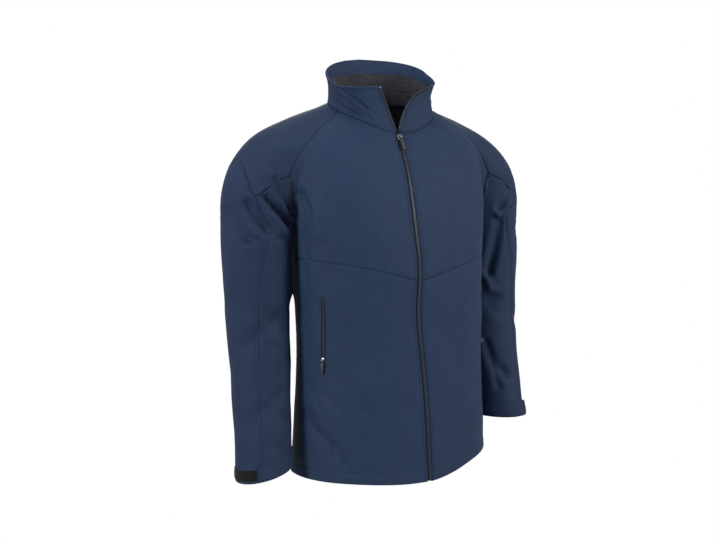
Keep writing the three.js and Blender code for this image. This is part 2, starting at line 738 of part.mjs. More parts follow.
function fronts(name, side, front, seam) {
  const run = [...front, ...seam.upper];
  const chest = chestSeam(side, seam.upper[SIDE_UPPER_STEPS - 1]);
  const neck = neckRun(side, edgeAngle(side), NECK_FRONT, FRONT_COLUMNS);
  const upperEdge = run.map((_, i) => {
    if (i === 0) return neck[0];
    if (i === run.length - 1) return chest[0];
    return frontEdge(side, lerp(neck[0].p.z, CHEST_SEAM_Z, i / (run.length - 1)));
  });
  addCloth(`front_upper_${name}`, patch({ top: neck, bottom: chest, left: upperEdge, right: run }, fromTorso));

  const outerSeam = [chest[FRONT_COLUMNS], ...seam.lower];
  const hemZ = HEM(0).z;
  const lowerEdge = outerSeam.map((_, i) =>
    (i === 0 ? chest[0] : frontEdge(side, lerp(CHEST_SEAM_Z, hemZ, i / SIDE_LOWER_STEPS))));
  const hemEnds = [lowerEdge[SIDE_LOWER_STEPS], outerSeam[SIDE_LOWER_STEPS]];
  const hem = hemRun(...hemEnds, side * HEM_START, side * HEM_TURN, FRONT_COLUMNS);
  addCloth(`front_lower_${name}`, patch({ top: chest, bottom: hem, left: lowerEdge, right: outerSeam }, fromTorso));
  return neck;
}

const seams = {};
for (const [name, arm] of Object.entries(arms)) {
  const { side } = arm;
  seams[name] = {
    front: raglan(side, -1),
    back: raglan(side, 1),
    neck: neckRun(side, NECK_FRONT, NECK_BACK, NECK_COLUMNS),
    side: sideSeam(side),
  };
  const s = seams[name];
  s.neck[0] = s.front[0];
  s.neck[NECK_COLUMNS] = s.back[0];
  sleeve(name, arm, s);
  s.frontNeck = fronts(name, side, s.front, s.side);
}

const backNeck = Array.from({ length: BACK_COLUMNS + 1 }, (_, i) => {
  const angle = lerp(NECK_BACK, 360 - NECK_BACK, i / BACK_COLUMNS);
  if (i === 0) return seams.right.back[0];
  if (i === BACK_COLUMNS) return seams.left.back[0];
  return neckPoint(-1, angle);
});
const backEdge = (name) => [...seams[name].back, ...seams[name].side.upper, ...seams[name].side.lower];
const backHem = hemRun(backEdge('right').at(-1), backEdge('left').at(-1), -HEM_TURN, HEM_TURN - 360, BACK_COLUMNS);
addCloth('back_panel', patch({
  top: backNeck, bottom: backHem, left: backEdge('right'), right: backEdge('left'),
}, fromTorso));

// Collar: columns from the wearer's right front edge round the back to the left one
function collarColumns() {
  const run = (side, list, from, to) => list.map((c, i) => ({
    base: c, side, angle: lerp(from, to, i / (list.length - 1)),
  }));
  const right = [
    ...run(-1, seams.right.frontNeck, 0, NECK_FRONT),
    ...run(-1, seams.right.neck, NECK_FRONT, NECK_BACK).slice(1),
  ];
  const left = [
    ...run(1, seams.left.frontNeck, 0, NECK_FRONT),
    ...run(1, seams.left.neck, NECK_FRONT, NECK_BACK).slice(1),
  ];
  const back = run(-1, backNeck, NECK_BACK, 360 - NECK_BACK).slice(1, -1)
    .map((c) => (c.angle > 180 ? { ...c, side: 1, angle: 360 - c.angle } : c));
  return [...right, ...back, ...left.reverse()];
}

function collarPoint(column, t) {
  const rim = (column.side < 0 ? RIM_RIGHT : RIM_LEFT)(column.angle);
  const away = point(column.base.p.x, column.base.p.y - NECK_Y, 0).normalize();
  const bow = 4 * t * (1 - t);
  const p = column.base.p.clone().lerp(point(rim.x, rim.y, rim.z), t).addScaledVector(away, -COLLAR_BULGE * bow);
  if (column.side > 0) {
    const flop = bow * easeStep(1 - column.angle / FLOP.angle);
    p.add(point(FLOP.x, FLOP.y, FLOP.z).multiplyScalar(flop));
  }
  p.z += LAYER_GAP * (1 - t);
  return p;
}

function collarGrid(columns, steps) {
  const e = 0.02;
  return steps.map((t) => columns.map((c, j) => {
    const before = collarPoint(columns[Math.max(j - 1, 0)], t);
    const after = collarPoint(columns[Math.min(j + 1, columns.length - 1)], t);
    const up = collarPoint(c, t + e).sub(collarPoint(c, t - e));
    return { p: collarPoint(c, t), n: up.cross(after.sub(before)).normalize() };
  }));
}

const columns = collarColumns();
const collar = collarGrid(columns, COLLAR_STEPS);
add('collar', wallGeometry(collar, 0, -WALL, 0), NAVY);
const insideCollar = -WALL - LAYER_GAP;
const insideWall = (steps) => wallGeometry(collarGrid(columns, steps), insideCollar, insideCollar - LINING_WALL);
const facingFrom = COLLAR_STEPS.length - 1 - FACING_ROWS;
add('collar_facing', insideWall([...COLLAR_STEPS.slice(facingFrom, -1), 1 - COLLAR_INSET]), NAVY);
add('collar_lining', insideWall([COLLAR_INSET, ...COLLAR_STEPS.slice(1, facingFrom + 1)]), FLEECE);

// Zip: frames down the closed part, then up each collar edge
function zipFrame(z) {
  const c = fromFrontView(zipX(z), z, -1);
  const down = fromFrontView(zipX(z - 4), z - 4, -1).p.sub(c.p).normalize();
  const n = c.n.clone().addScaledVector(down, -c.n.dot(down)).normalize();
  return { p: c.p, n, down, across: n.clone().cross(down).normalize() };
}

// A bar through frames, from one offset across to another and one depth to another.
function barGeometry(frames, low, high, front, back) {
  const positions = [];
  for (const f of frames) {
    for (const [a, b] of [[low, front], [high, front], [high, back], [low, back]]) {
      const p = f.p.clone().addScaledVector(f.across, a).addScaledVector(f.n, b);
      positions.push(p.x, p.y, p.z);
    }
  }
  const index = [0, 1, 2, 0, 2, 3];
  for (let i = 0; i < frames.length - 1; i += 1) {
    for (let k = 0; k < 4; k += 1) {
      const a = 4 * i + k;
      const b = 4 * i + ((k + 1) % 4);
      index.push(a, a + 4, b + 4, a, b + 4, b);
    }
  }
  const e = 4 * (frames.length - 1);
  index.push(e, e + 2, e + 1, e, e + 3, e + 2);
  return closedGeometry(positions, index);
}

const zipTop = MAIN_SLIDER.z - MAIN_SLIDER.length / 2 - LAYER_GAP;
const zipBottom = HEM(0).z + HEM_CLEAR;
const zipFrames = Array.from({ length: ZIP_STEPS + 1 }, (_, i) => zipFrame(lerp(zipTop, zipBottom, i / ZIP_STEPS)));
add('zip_chain', barGeometry(zipFrames, -TEETH_HALF, TEETH_HALF, TEETH_FRONT, TEETH_BACK), TEETH_COLOUR, 0.4, 0.3);

function collarEdgeFrames(last) {
  const { from, to, steps } = COLLAR_TEETH;
  const ts = Array.from({ length: steps + 1 }, (_, i) => lerp(to, from, i / steps));
  const grid = collarGrid(columns, ts);
  return ts.map((t, i) => {
    const { p, n } = grid[i][last ? columns.length - 1 : 0];
    const column = columns[last ? columns.length - 1 : 0];
    const down = collarPoint(column, t - 0.01).sub(collarPoint(column, t)).normalize();
    return { p, n, down, across: n.clone().cross(down).normalize() };
  });
}

for (const [name, { side }] of Object.entries(arms)) {
  const offsets = [-side * COLLAR_TEETH.near, -side * COLLAR_TEETH.far].sort((a, b) => a - b);
  const geometry = barGeometry(collarEdgeFrames(side > 0), ...offsets, TEETH_FRONT, TEETH_BACK);
  add(`collar_chain_${name}`, geometry, TEETH_COLOUR, 0.4, 0.3);
}

// Tapes and wind flap lie behind the fronts' edges
const frontRows = (name) => [...grids[`front_upper_${name}`], ...grids[`front_lower_${name}`].slice(1)];

function besideEdge(row, distance) {
  const along = row[1].p.clone().sub(row[0].p).normalize();
  const t = Math.max(distance, 0) / row[1].p.distanceTo(row[0].p);
  const n = row[0].n.clone().lerp(row[1].n, t).normalize();
  return { p: row[0].p.clone().addScaledVector(along, distance), n };
}

for (const name of Object.keys(arms)) {
  const tape = frontRows(name).map((row) => [TAPE_EDGE, 0, TAPE_DEEP].map((d) => besideEdge(row, d)));
  add(`zip_tape_${name}`, wallGeometry(tape, TAPE_LIFT, TAPE_LIFT - TAPE_WALL, 0), NAVY_DARK);
}
const leftRows = frontRows('left');
const flap = frontRows('right').map((row, i) => [
  besideEdge(row, FLAP_RIGHT), besideEdge(row, 0), besideEdge(leftRows[i], 0), besideEdge(leftRows[i], FLAP_LEFT),
]);
add('wind_flap', wallGeometry(flap, FLAP_LIFT, FLAP_LIFT - FLAP_WALL, 0), NAVY_DARK);

// Sliders and pull tabs, drawn with x across, y up and z off the cloth, the pin at y = 0
const block = (low, high) => Manifold.cube(high.map((v, k) => v - low[k])).translate(low);

function solidGeometry(solid, frame) {
  const mesh = solid.getMesh();
  const geometry = closedGeometry(Array.from(mesh.vertProperties), Array.from(mesh.triVerts));
  const up = frame.down.clone().negate();
  const place = new THREE.Matrix4().makeBasis(frame.across, up, frame.n).setPosition(frame.p);
  return geometry.applyMatrix4(place);
}

function addSlider(sliderName, pullName, frame, size) {
  const { stem, plate, length, lift, back, tab } = size;
  const top = lift + PLATE_WALL;
  const pin = top + RUNNING + PIN_RADIUS;
  const roof = pin + PIN_RADIUS + RUNNING;
  const half = length / 2;
  const reach = PIN_RADIUS + RUNNING + BRIDGE.post;
  const bridge = block([-BRIDGE.width / 2, -reach, top - BRIDGE.sink], [BRIDGE.width / 2, reach, roof + BRIDGE.top])
    .subtract(block([-plate, -reach + BRIDGE.post, top], [plate, reach - BRIDGE.post, roof]));
  const body = block([-stem / 2, -half, back], [stem / 2, half, top])
    .add(block([-plate / 2, -half, lift], [plate / 2, half, top]))
    .add(bridge);
  add(sliderName, solidGeometry(body, frame), METAL, 0.35, 0.8);

  const eye = block([-EYE.half, -EYE.length, -plate], [EYE.half, 0, plate]);
  const bar = Manifold.cylinder(tab[0], PIN_RADIUS, PIN_RADIUS, PIN_SIDES, true).rotate([0, 90, 0]);
  const pull = block([-tab[0] / 2, -tab[1], -PIN_RADIUS], [tab[0] / 2, 0, PIN_RADIUS])
    .subtract(eye)
    .add(bar)
    .translate([0, 0, pin]);
  add(pullName, solidGeometry(pull, frame), BLACK, 0.5);
}

addSlider('zip_slider', 'zip_pull', zipFrame(MAIN_SLIDER.z), MAIN_SLIDER);

// Pockets
for (const [name, { side }] of Object.entries(arms)) {
  const front = grids[`front_lower_${name}`];
  add(`pocket_welt_${name}`, wallGeometry(gridPart(front, WELT_COLUMNS, POCKET_ROWS), ...WELT, 0), NAVY);
  const zip = gridPart(front, POCKET_ZIP_COLUMNS, POCKET_ZIP_ROWS);
  add(`pocket_zip_${name}`, wallGeometry(zip, ...POCKET_ZIP, 0), TEETH_COLOUR, 0.4, 0.3);
  const [column, row] = POCKET_SLIDER_AT;
  const { p, n } = onGrid(front, column, row);
  const down = onGrid(front, column, row + 0.1).p.sub(onGrid(front, column, row - 0.1).p);
  down.addScaledVector(n, -down.dot(n)).normalize();
  const frame = { p, n, down, across: n.clone().cross(down).normalize() };
  addSlider(`pocket_slider_${name}`, `pocket_pull_${name}`, frame, POCKET_SLIDER);
}

// Cuffs
const rowsFromEnd = (grid, heights) => {
  const last = grid.length - 1;
  const step = grid[last][0].p.distanceTo(grid[last - 1][0].p);
  const rows = heights.map((h) => last - h / step);
  if (rows[0] < last - 1) rows.splice(1, 0, last - 1);
  return rows;
};

for (const name of Object.keys(arms)) {
  const outer = grids[`outer_sleeve_${name}`];
  const under = grids[`under_sleeve_${name}`];
  const strip = gridPart(outer, STRIP_COLUMNS, rowsFromEnd(outer, STRIP_HEIGHT));
  add(`cuff_strip_${name}`, wallGeometry(strip, ...STRIP, 0), BLACK, 1);

  const tabColumns = Array.from({ length: TAB_COLUMNS + 1 }, (_, i) => i);
  const outerRows = rowsFromEnd(outer, TAB_HEIGHT);
  const tab = rowsFromEnd(under, TAB_HEIGHT).map((row, i) => {
    const start = onGrid(outer, TAB_START, outerRows[i]);
    return [start, ...tabColumns.map((column) => onGrid(under, column, row))].map(({ p, n }, j) => {
      const open = Math.max(1 - j / TAB_FLARE.reach, 0) ** 2;
      return { p: p.clone().addScaledVector(n, TAB_LIFT + TAB_FLARE[name] * open), n };
    });
  });
  add(`cuff_tab_${name}`, wallGeometry(tab, TAB_WALL, 0, 0), NAVY);
}

export default jacket;
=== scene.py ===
import math

import bpy
import numpy as np
from mathutils import Matrix


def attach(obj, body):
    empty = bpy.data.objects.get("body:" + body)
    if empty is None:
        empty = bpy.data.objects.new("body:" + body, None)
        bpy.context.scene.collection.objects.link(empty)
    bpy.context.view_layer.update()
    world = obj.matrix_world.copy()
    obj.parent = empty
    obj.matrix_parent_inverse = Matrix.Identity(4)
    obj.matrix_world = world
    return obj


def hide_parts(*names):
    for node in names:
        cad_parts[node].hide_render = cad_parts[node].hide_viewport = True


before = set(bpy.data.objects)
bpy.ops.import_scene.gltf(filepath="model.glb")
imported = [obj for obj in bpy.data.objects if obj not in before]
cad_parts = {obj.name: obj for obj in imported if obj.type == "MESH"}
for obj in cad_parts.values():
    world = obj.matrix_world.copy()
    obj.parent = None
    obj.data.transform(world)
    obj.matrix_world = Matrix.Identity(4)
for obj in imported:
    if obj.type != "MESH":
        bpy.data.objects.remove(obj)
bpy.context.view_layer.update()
print("frame loaded")

# Lengths here are millimetres, as in the part, and become metres when a mesh is made.
# The wearer faces -Y and +X is the wearer's left.

stage = {
    "photoSize": (716, 540),
    "turn": -30.0,                 # degrees round the jacket from straight in front
    "aim": (0.0, -35.0, -100.0),
    "aimPixel": 388.0,
    "horizon": 148.5,              # the picture row that is level with the camera
    "distance": 2450.0,
    "focal": 1237.0,               # pixels
    "sensor": 36.0,
    "worldColour": "FFFFFF",
    "seenWhite": 1.0,
    "ambient": 0.5,
}


def toLinear(hexColour):
    parts = [int(hexColour[i:i + 2], 16) / 255 for i in (0, 2, 4)]
    linear = [c / 12.92 if c <= 0.04045 else ((c + 0.055) / 1.055) ** 2.4 for c in parts]
    return (*linear, 1.0)


def addNode(tree, kind, settings=None, inputs=None):
    node = tree.nodes.new(kind)
    for name, value in (settings or {}).items():
        setattr(node, name, value)
    for name, value in (inputs or {}).items():
        if isinstance(value, bpy.types.NodeSocket):
            tree.links.new(value, node.inputs[name])
        else:
            node.inputs[name].default_value = value
    return node


def newMaterial(name):
    material = bpy.data.materials.new(name)
    material.use_nodes = True
    tree = material.node_tree
    shader = tree.nodes["Principled BSDF"]
    place = addNode(tree, "ShaderNodeTexCoord").outputs["Object"]
    return material, tree, shader, place


# Softshell: stretch-woven polyester bonded to fleece. Its face is matt, with a fine twill that
# gives the eye a soft grain, and the colour lifts a little where the cloth has been rubbed.
softshell = {
    "body": ("15233A", "1B2C44"),
    "sleeve": ("142038", "19283F"),
    "threadSpacing": 0.9,          # mm, coarser than the real 0.4 so that it shows at this size
    "mottle": 26.0,
    "roughness": 0.74,
    "sheen": 0.02,
    "bump": 0.16,
}


clothShine = {"Sheen Roughness": 0.4, "Specular IOR Level": 0.16}      # faint and wide on every cloth


def wovenMaterial(name, colours, spec):
    material, tree, shader, place = newMaterial(name)
    dark, light = colours
    scale = 1000 / spec["threadSpacing"]
    warp = addNode(tree, "ShaderNodeTexWave", {"wave_type": "BANDS", "bands_direction": "DIAGONAL"},
                   {"Vector": place, "Scale": scale / 6.3, "Distortion": 1.5, "Detail": 1.0})
    grain = addNode(tree, "ShaderNodeTexNoise", inputs={"Vector": place, "Scale": scale, "Detail": 3.0})
    mottle = addNode(tree, "ShaderNodeTexNoise", inputs={
        "Vector": place, "Scale": 1000 / spec["mottle"], "Detail": 4.0, "Roughness": 0.6})
    weave = addNode(tree, "ShaderNodeMix", {"data_type": "FLOAT"},
                    {"Factor": 0.6, "A": warp.outputs["Fac"], "B": grain.outputs["Fac"]})
    blend = addNode(tree, "ShaderNodeMath", {"operation": "MULTIPLY_ADD"},
                    {0: weave.outputs[0], 1: 0.8, 2: mottle.outputs["Fac"]})
    ramp = addNode(tree, "ShaderNodeMapRange",
                   inputs={"Value": blend.outputs[0], "From Min": 0.4, "From Max": 1.4})
    colour = addNode(tree, "ShaderNodeMix", {"data_type": "RGBA"},
                     {0: ramp.outputs[0], 6: toLinear(dark), 7: toLinear(light)})
    bump = addNode(tree, "ShaderNodeBump",
                   inputs={"Strength": spec["bump"], "Distance": 0.0004, "Height": weave.outputs[0]})
    tree.links.new(colour.outputs[2], shader.inputs["Base Color"])
    tree.links.new(bump.outputs[0], shader.inputs["Normal"])
    shine = {**clothShine, "Roughness": spec["roughness"], "Sheen Weight": spec["sheen"]}
    for socket, value in shine.items():
        shader.inputs[socket].default_value = value
    return material


bodyCloth = wovenMaterial("softshellBody", softshell["body"], softshell)
sleeveCloth = wovenMaterial("softshellSleeve", softshell["sleeve"], softshell)

# Brushed fleece: the bonded inside. Short clumped fibres give a soft, uneven dark grey.
fleece = {"threadSpacing": 2.4, "mottle": 9.0, "roughness": 0.95, "sheen": 0.15, "bump": 0.6}
fleeceCloth = wovenMaterial("brushedFleece", ("1E1F23", "34343A"), fleece)

# Woven polyester tape: ribbed and a little shinier than the shell beside it
tape = {"threadSpacing": 0.8, "mottle": 14.0, "roughness": 0.7, "sheen": 0.05, "bump": 0.3}
tapeCloth = wovenMaterial("wovenTape", ("0F141E", "161D2A"), tape)

# Loop strip: black nylon loops, which swallow light
loops = {"threadSpacing": 1.3, "mottle": 4.0, "roughness": 1.0, "sheen": 0.1, "bump": 0.9}
loopCloth = wovenMaterial("nylonLoops", ("08080A", "18181A"), loops)

# Spun polyester thread, a little darker than the cloth: painted shade, so the topstitching reads as a fine
# dark line
thread = {"threadSpacing": 0.5, "mottle": 6.0, "roughness": 0.6, "sheen": 0.1, "bump": 0.2}
threadWithPaintedShade = wovenMaterial("spunThreadPaintedShade", ("0F1828", "172233"), thread)


def hardMaterial(name, spec):
    material, tree, shader, place = newMaterial(name)
    roughness = spec["roughness"]
    grain = addNode(tree, "ShaderNodeTexNoise",
                    inputs={"Vector": place, "Scale": 1000 / spec["grain"], "Detail": 3.0})
    bump = addNode(tree, "ShaderNodeBump",
                   inputs={"Strength": spec["bump"], "Distance": 0.0002, "Height": grain.outputs["Fac"]})
    rough = addNode(tree, "ShaderNodeMapRange", inputs={
        "Value": grain.outputs["Fac"], "To Min": roughness * 0.8, "To Max": roughness * 1.25})
    shader.inputs["Base Color"].default_value = toLinear(spec["colour"])
    tree.links.new(rough.outputs[0], shader.inputs["Roughness"])
    tree.links.new(bump.outputs[0], shader.inputs["Normal"])
    shader.inputs["Metallic"].default_value = spec["metallic"]
    return material


# Moulded acetal teeth: smooth, so that they catch small highlights
acetal = {"colour": "1F2634", "roughness": 0.45, "metallic": 0.0, "grain": 3.0, "bump": 0.05}
toothPlastic = hardMaterial("mouldedAcetal", acetal)
# Cast and plated zinc: a satin grey metal
zinc = {"colour": "7C7F86", "roughness": 0.3, "metallic": 0.9, "grain": 1.0, "bump": 0.08}
sliderMetal = hardMaterial("platedZinc", zinc)
# Moulded rubber: a soft black with a dull gleam
rubber = {"colour": "141518", "roughness": 0.55, "metallic": 0.0, "grain": 0.8, "bump": 0.2}
pullRubber = hardMaterial("mouldedRubber", rubber)
print("materials made")


# The garment's form: the same named sections as the part's
def makeCurve(rows):
    table = np.array(rows, float)
    index = np.arange(len(table))
    low = table[np.maximum(index - 1, 0)]
    high = table[np.minimum(index + 1, len(table) - 1)]
    slopes = (high[:, 1:] - low[:, 1:]) / (high[:, :1] - low[:, :1])

    def curve(at):
        at = np.atleast_1d(np.asarray(at, float))
        i = np.clip(np.searchsorted(table[:, 0], at) - 1, 0, len(table) - 2)
        span = table[i + 1, 0] - table[i, 0]
        t = np.clip((at - table[i, 0]) / span, 0, 1)[:, None]
        span = span[:, None]
        a = table[i, 1:]
        b = table[i + 1, 1:]
        ease = t * t * (3 - 2 * t)
        bend = t * (1 - t) ** 2 * slopes[i] - t * t * (1 - t) * slopes[i + 1]
        return a + (b - a) * ease + span * bend

    return curve


torso = {
    "axisY": -35.0,
    "power": 2.25,
    "shoulderBack": 55,            # towards the neck the cloth is laid out from so much further back,
    "shoulderRise": 150,           # which starts so far below the collar seam
    # height, centre x, half width, front, back
    "sections": makeCurve([
        [-760, 2, 206, 149, 134], [-600, 4, 199, 138, 127], [-500, 5, 196, 132, 124],
        [-400, 4, 198, 130, 128], [-320, 2, 202, 131, 136], [-250, 0, 208, 129, 142],
        [-180, 0, 212, 122, 144], [-120, 0, 208, 112, 140], [-60, 0, 198, 98, 132],
        [0, 0, 180, 84, 120], [60, 0, 150, 60, 110]]),
}
# height, centre x, centre y, half width, half depth
armSections = {
    "right": makeCurve([
        [-760, -277, -44, 54, 54], [-620, -268, -18, 56, 57], [-520, -263, 2, 59, 62],
        [-420, -261, 15, 63, 68], [-330, -262, 18, 67, 74], [-250, -261, 17, 73, 79],
        [-180, -255, 17, 82, 82], [-120, -239, 18, 91, 84], [-60, -208, 20, 93, 84],
        [40, -165, 20, 104, 80]]),
    "left": makeCurve([
        [-760, 270, -64, 52, 54], [-620, 268, -30, 55, 58], [-520, 266, -6, 59, 64], [-420, 267, 12, 63, 70],
        [-330, 270, 20, 67, 76], [-250, 268, 22, 73, 80], [-180, 263, 22, 85, 82], [-120, 243, 20, 99, 84],
        [-60, 208, 20, 98, 84], [40, 165, 20, 104, 80]]),
}
roof = {"ridgeY": 34, "top": 11, "start": 73, "slope": 0.41, "round": 30, "tipX": 243, "tipRadius": 85,
        "backRadius": 130, "frontRadius": 84, "frontGrowth": 0.25, "reach": 38}
pit = {"z": -250, "y": 15, "rise": 46, "half": 74, "power": 3,
       "slotRate": 0.3, "slotMost": 6, "slotReach": 1.2, "slotAbove": 3,
       "seamReach": 3, "blendReach": 26, "blendFade": 130, "fromX": 120.0, "toX": 280.0}
neck = {"half": 111, "depth": 86, "y": -5, "front": 74, "back": 128}
zipLine = makeCurve([
    [-740, 12], [-640, 10], [-573, 8], [-507, 3], [-457, -2], [-407, -5],
    [-355, -2], [-310, -2], [-260, -7], [-200, -9], [-150, -9], [-78, -10]])
hemLine = makeCurve([
    [-225, -728], [-180, -738], [-135, -737], [-90, -731], [-55, -731], [-20, -736],
    [0, -737], [20, -731], [45, -712], [65, -703], [90, -706], [135, -728], [180, -738], [225, -737]])
# Large folds, as in the part: from, to, width, depth, where a depth less than 0 stands out
bigFolds = np.array([
    [-264, -68, -196, -224, -62, -244, 13, 7], [-280, -66, -180, -240, -72, -222, 12, -4],
    [-318, 0, -214, -300, -44, -268, 13, 6], [-300, -40, -206, -268, -66, -262, 11, 6],
    [-246, -50, -420, -306, -34, -470, 16, 4], [-248, -60, -560, -302, -60, -610, 15, 4],
    [-196, -60, -610, -160, -136, -690, 13, 5], [-182, -90, -560, -150, -140, -600, 12, 3],
    [-252, -60, -164, -214, -46, -226, 10, 6], [298, -42, -196, 254, -54, -234, 10, -4],
    [286, -44, -172, 258, -58, -214, 11, 6], [262, -58, -240, 240, -52, -330, 13, 5],
    [318, 2, -240, 300, -44, -296, 13, 5], [246, -48, -410, 306, -30, -462, 16, 4],
    [230, -60, -520, 256, -76, -564, 13, 4], [-212, 84, -246, -276, 88, -194, 13, 6],
    [-222, 82, -286, -300, 66, -238, 14, 5], [-238, 84, -430, -302, 62, -470, 16, 4],
    [214, 84, -250, 280, 86, -200, 13, 6], [224, 82, -292, 304, 64, -250, 14, 5],
    [242, 78, -400, 306, 54, -446, 16, 4], [-186, 66, -300, -118, 98, -384, 16, 5],
    [188, 64, -312, 124, 96, -402, 16, 5], [-120, 92, -520, -36, 96, -548, 18, 4],
    [58, 94, -560, 136, 82, -604, 18, 4], [-66, 98, -636, -84, 98, -716, 16, 3]], float)


def easeStep(value):
    t = np.clip(value, 0, 1)
    return t * t * (3 - 2 * t)


def bell(distance, width):
    return np.exp(-((distance / width) ** 2))


def unit(vectors):
    return vectors / np.maximum(np.linalg.norm(vectors, axis=-1, keepdims=True), 1e-6)


def reachedAlong(line):
    # The distance run at each point of a line
    return np.concatenate([[0], np.cumsum(np.linalg.norm(np.diff(line, axis=0), axis=1))])


def tubeDistance(x, y, half, depth, power):
    ratio = (np.abs(x / half) ** power + np.abs(y / depth) ** power) ** (1 / power)
    return np.hypot(x, y) * (1 - 1 / np.maximum(ratio, 1e-3))


def torsoDistance(p):
    s = torso["sections"](p[:, 2])
    y = p[:, 1] - torso["axisY"]
    return tubeDistance(p[:, 0] - s[:, 0], y, s[:, 1], np.where(y < 0, s[:, 2], s[:, 3]), torso["power"])


def armDistance(p, name):
    s = armSections[name](p[:, 2])
    return tubeDistance(p[:, 0] - s[:, 0], p[:, 1] - s[:, 1], s[:, 2], s[:, 3], 2)


def roofDistance(p):
    r = roof
    out = np.hypot(p[:, 0], r["round"])
    past = 0.5 * (out - r["tipX"] + np.hypot(out - r["tipX"], r["round"]))
    ridge = r["top"] - r["slope"] * (out - r["start"]) - past ** 2 / (2 * r["tipRadius"])
    dy = p[:, 1] - r["ridgeY"]
    radius = np.where(dy < 0, r["frontRadius"] + r["frontGrowth"] * out, r["backRadius"])
    slope = np.sqrt(1 + (r["slope"] + past / r["tipRadius"]) ** 2 + (dy / radius) ** 2)
    return (p[:, 2] - ridge + dy ** 2 / (2 * radius)) / slope


def slotTop(y):
    return pit["z"] + pit["rise"] * np.abs((y - pit["y"]) / pit["half"]) ** pit["power"]


def foldSum(p, folds):
    total = np.zeros(len(p))
    for row in folds:
        start, end, width, depth = row[:3], row[3:6], row[6], row[7]
        line = end - start
        t = np.clip((p - start) @ line / (line @ line), 0, 1)
        off = np.linalg.norm(p - start - t[:, None] * line, axis=1)
        total += depth * bell(off, width)
    return total


def smoothMin(a, b, reach):
    return 0.5 * (a + b - np.hypot(a - b, reach))


def smoothMax(a, b, reach):
    return 0.5 * (a + b + np.hypot(a - b, reach))


def garment(p, part=None):
    # Less than 0 inside. A part, torso or arm, is cut off from the other at the armpit's slot.
    body = torsoDistance(p)
    right = armDistance(p, "right")
    left = armDistance(p, "left")
    below = slotTop(p[:, 1]) - p[:, 2]
    reach = pit["seamReach"] + pit["blendReach"] * easeStep(-below / pit["blendFade"])
    form = smoothMin(smoothMin(body, right, reach), left, reach)
    form = smoothMax(form, roofDistance(p), roof["reach"])
    slot = np.minimum(pit["slotMost"], pit["slotRate"] * below)
    apart = body - np.minimum(right, left)
    if part is None:
        parted = smoothMax(form, 0.5 * (slot - np.abs(apart)), pit["slotReach"])
        return np.where(below > 0, parted, form) + foldSum(p, bigFolds)
    slot = np.where(below > 0, slot, pit["slotAbove"] * below)
    apart = apart if part == "arm" else -apart
    return smoothMax(form, 0.5 * (slot - apart), pit["slotReach"]) + foldSum(p, bigFolds)


def leaveForm(origins, directions, start=0.0, part=None):
    directions = unit(directions)
    near = np.full(len(origins), float(start))
    far = near + 4
    going = np.arange(len(origins))
    for _ in range(140):
        value = garment(origins[going] + directions[going] * far[going, None], part)
        inside = value < 0
        going = going[inside]
        if len(going) == 0:
            break
        near[going] = far[going]
        far[going] += np.clip(-0.5 * value[inside], 3, 40)
    for _ in range(20):
        middle = 0.5 * (near + far)
        inside = garment(origins + directions * middle[:, None], part) < 0
        near = np.where(inside, middle, near)
        far = np.where(inside, far, middle)
    return origins + directions * (0.5 * (near + far))[:, None]


def outward(p, part=None, reach=3.0):
    slope = np.zeros_like(p)
    for axis in range(3):
        step = np.zeros(3)
        step[axis] = reach
        slope[:, axis] = garment(p + step, part) - garment(p - step, part)
    return unit(slope)


perStation = 10        # points from one station of a smooth line to the next


def fromFrontView(x, z, facing):
    x, z = np.broadcast_arrays(np.atleast_1d(x).astype(float), np.atleast_1d(z).astype(float))
    origins = np.stack([x, np.full_like(x, 10.0), z], axis=1)
    return leaveForm(origins, np.tile([0.0, facing, 0.0], (len(x), 1)))


def fromArm(name, angle, z):
    angle, z = np.broadcast_arrays(np.atleast_1d(angle).astype(float), np.atleast_1d(z).astype(float))
    side = -1 if name == "right" else 1
    s = armSections[name](z)
    turn = np.radians(angle)
    origins = np.stack([s[:, 0], s[:, 1], z], axis=1)
    return leaveForm(origins, np.stack([side * np.cos(turn), -np.sin(turn), np.zeros_like(turn)], axis=1))


def settleOnTorso(q):
    back = torso["shoulderBack"] * easeStep((q[:, 2] + torso["shoulderRise"]) / torso["shoulderRise"])
    origins = np.stack([np.zeros(len(q)), torso["axisY"] + back, q[:, 2]], axis=1)
    return leaveForm(origins, q - origins, 20, "torso")


def settleOnArm(name):
    def settle(q):
        s = armSections[name](q[:, 2])
        origins = np.stack([s[:, 0], s[:, 1], q[:, 2]], axis=1)
        return leaveForm(origins, q - origins, 0, "arm")
    return settle


# A line inside the left shoulder that its cloth is laid out from, and the stretch of x that it serves
shoulderCore = {"start": np.array([70.0, 10, -120]), "run": np.array([162.0, 8, -70]),
                "fromX": 90, "reachX": 170}


def settleOnShoulder(side):
    def settle(q):
        t = np.clip((np.abs(q[:, 0]) - shoulderCore["fromX"]) / shoulderCore["reachX"], 0, 1)[:, None]
        origins = (shoulderCore["start"] + shoulderCore["run"] * t) * [side, 1, 1]
        return leaveForm(origins, q - origins)
    return settle


def slotPoint(side, y):
    z = float(slotTop(y))
    name = "right" if side < 0 else "left"
    low, high = pit["fromX"], pit["toX"]
    for _ in range(40):
        x = 0.5 * (low + high)
        q = np.array([[side * x, y, z]])
        if torsoDistance(q)[0] < armDistance(q, name)[0]:
            low = x
        else:
            high = x
    return np.array([[side * 0.5 * (low + high), y, z]])


def slotEdge(side, facing):
    near = pit["y"]
    far = pit["y"] + facing * pit["half"]
    for _ in range(30):
        y = 0.5 * (near + far)
        if garment(slotPoint(side, y))[0] < 0:
            near = y
        else:
            far = y
    return near


def neckPoints(side, angles):
    turn = np.radians(angles)
    origins = np.stack([side * neck["half"] * np.sin(turn), neck["y"] - neck["depth"] * np.cos(turn),
                        np.full(len(turn), -150.0)], axis=1)
    return leaveForm(origins, np.tile([0.0, 0.0, 1.0], (len(turn), 1)))


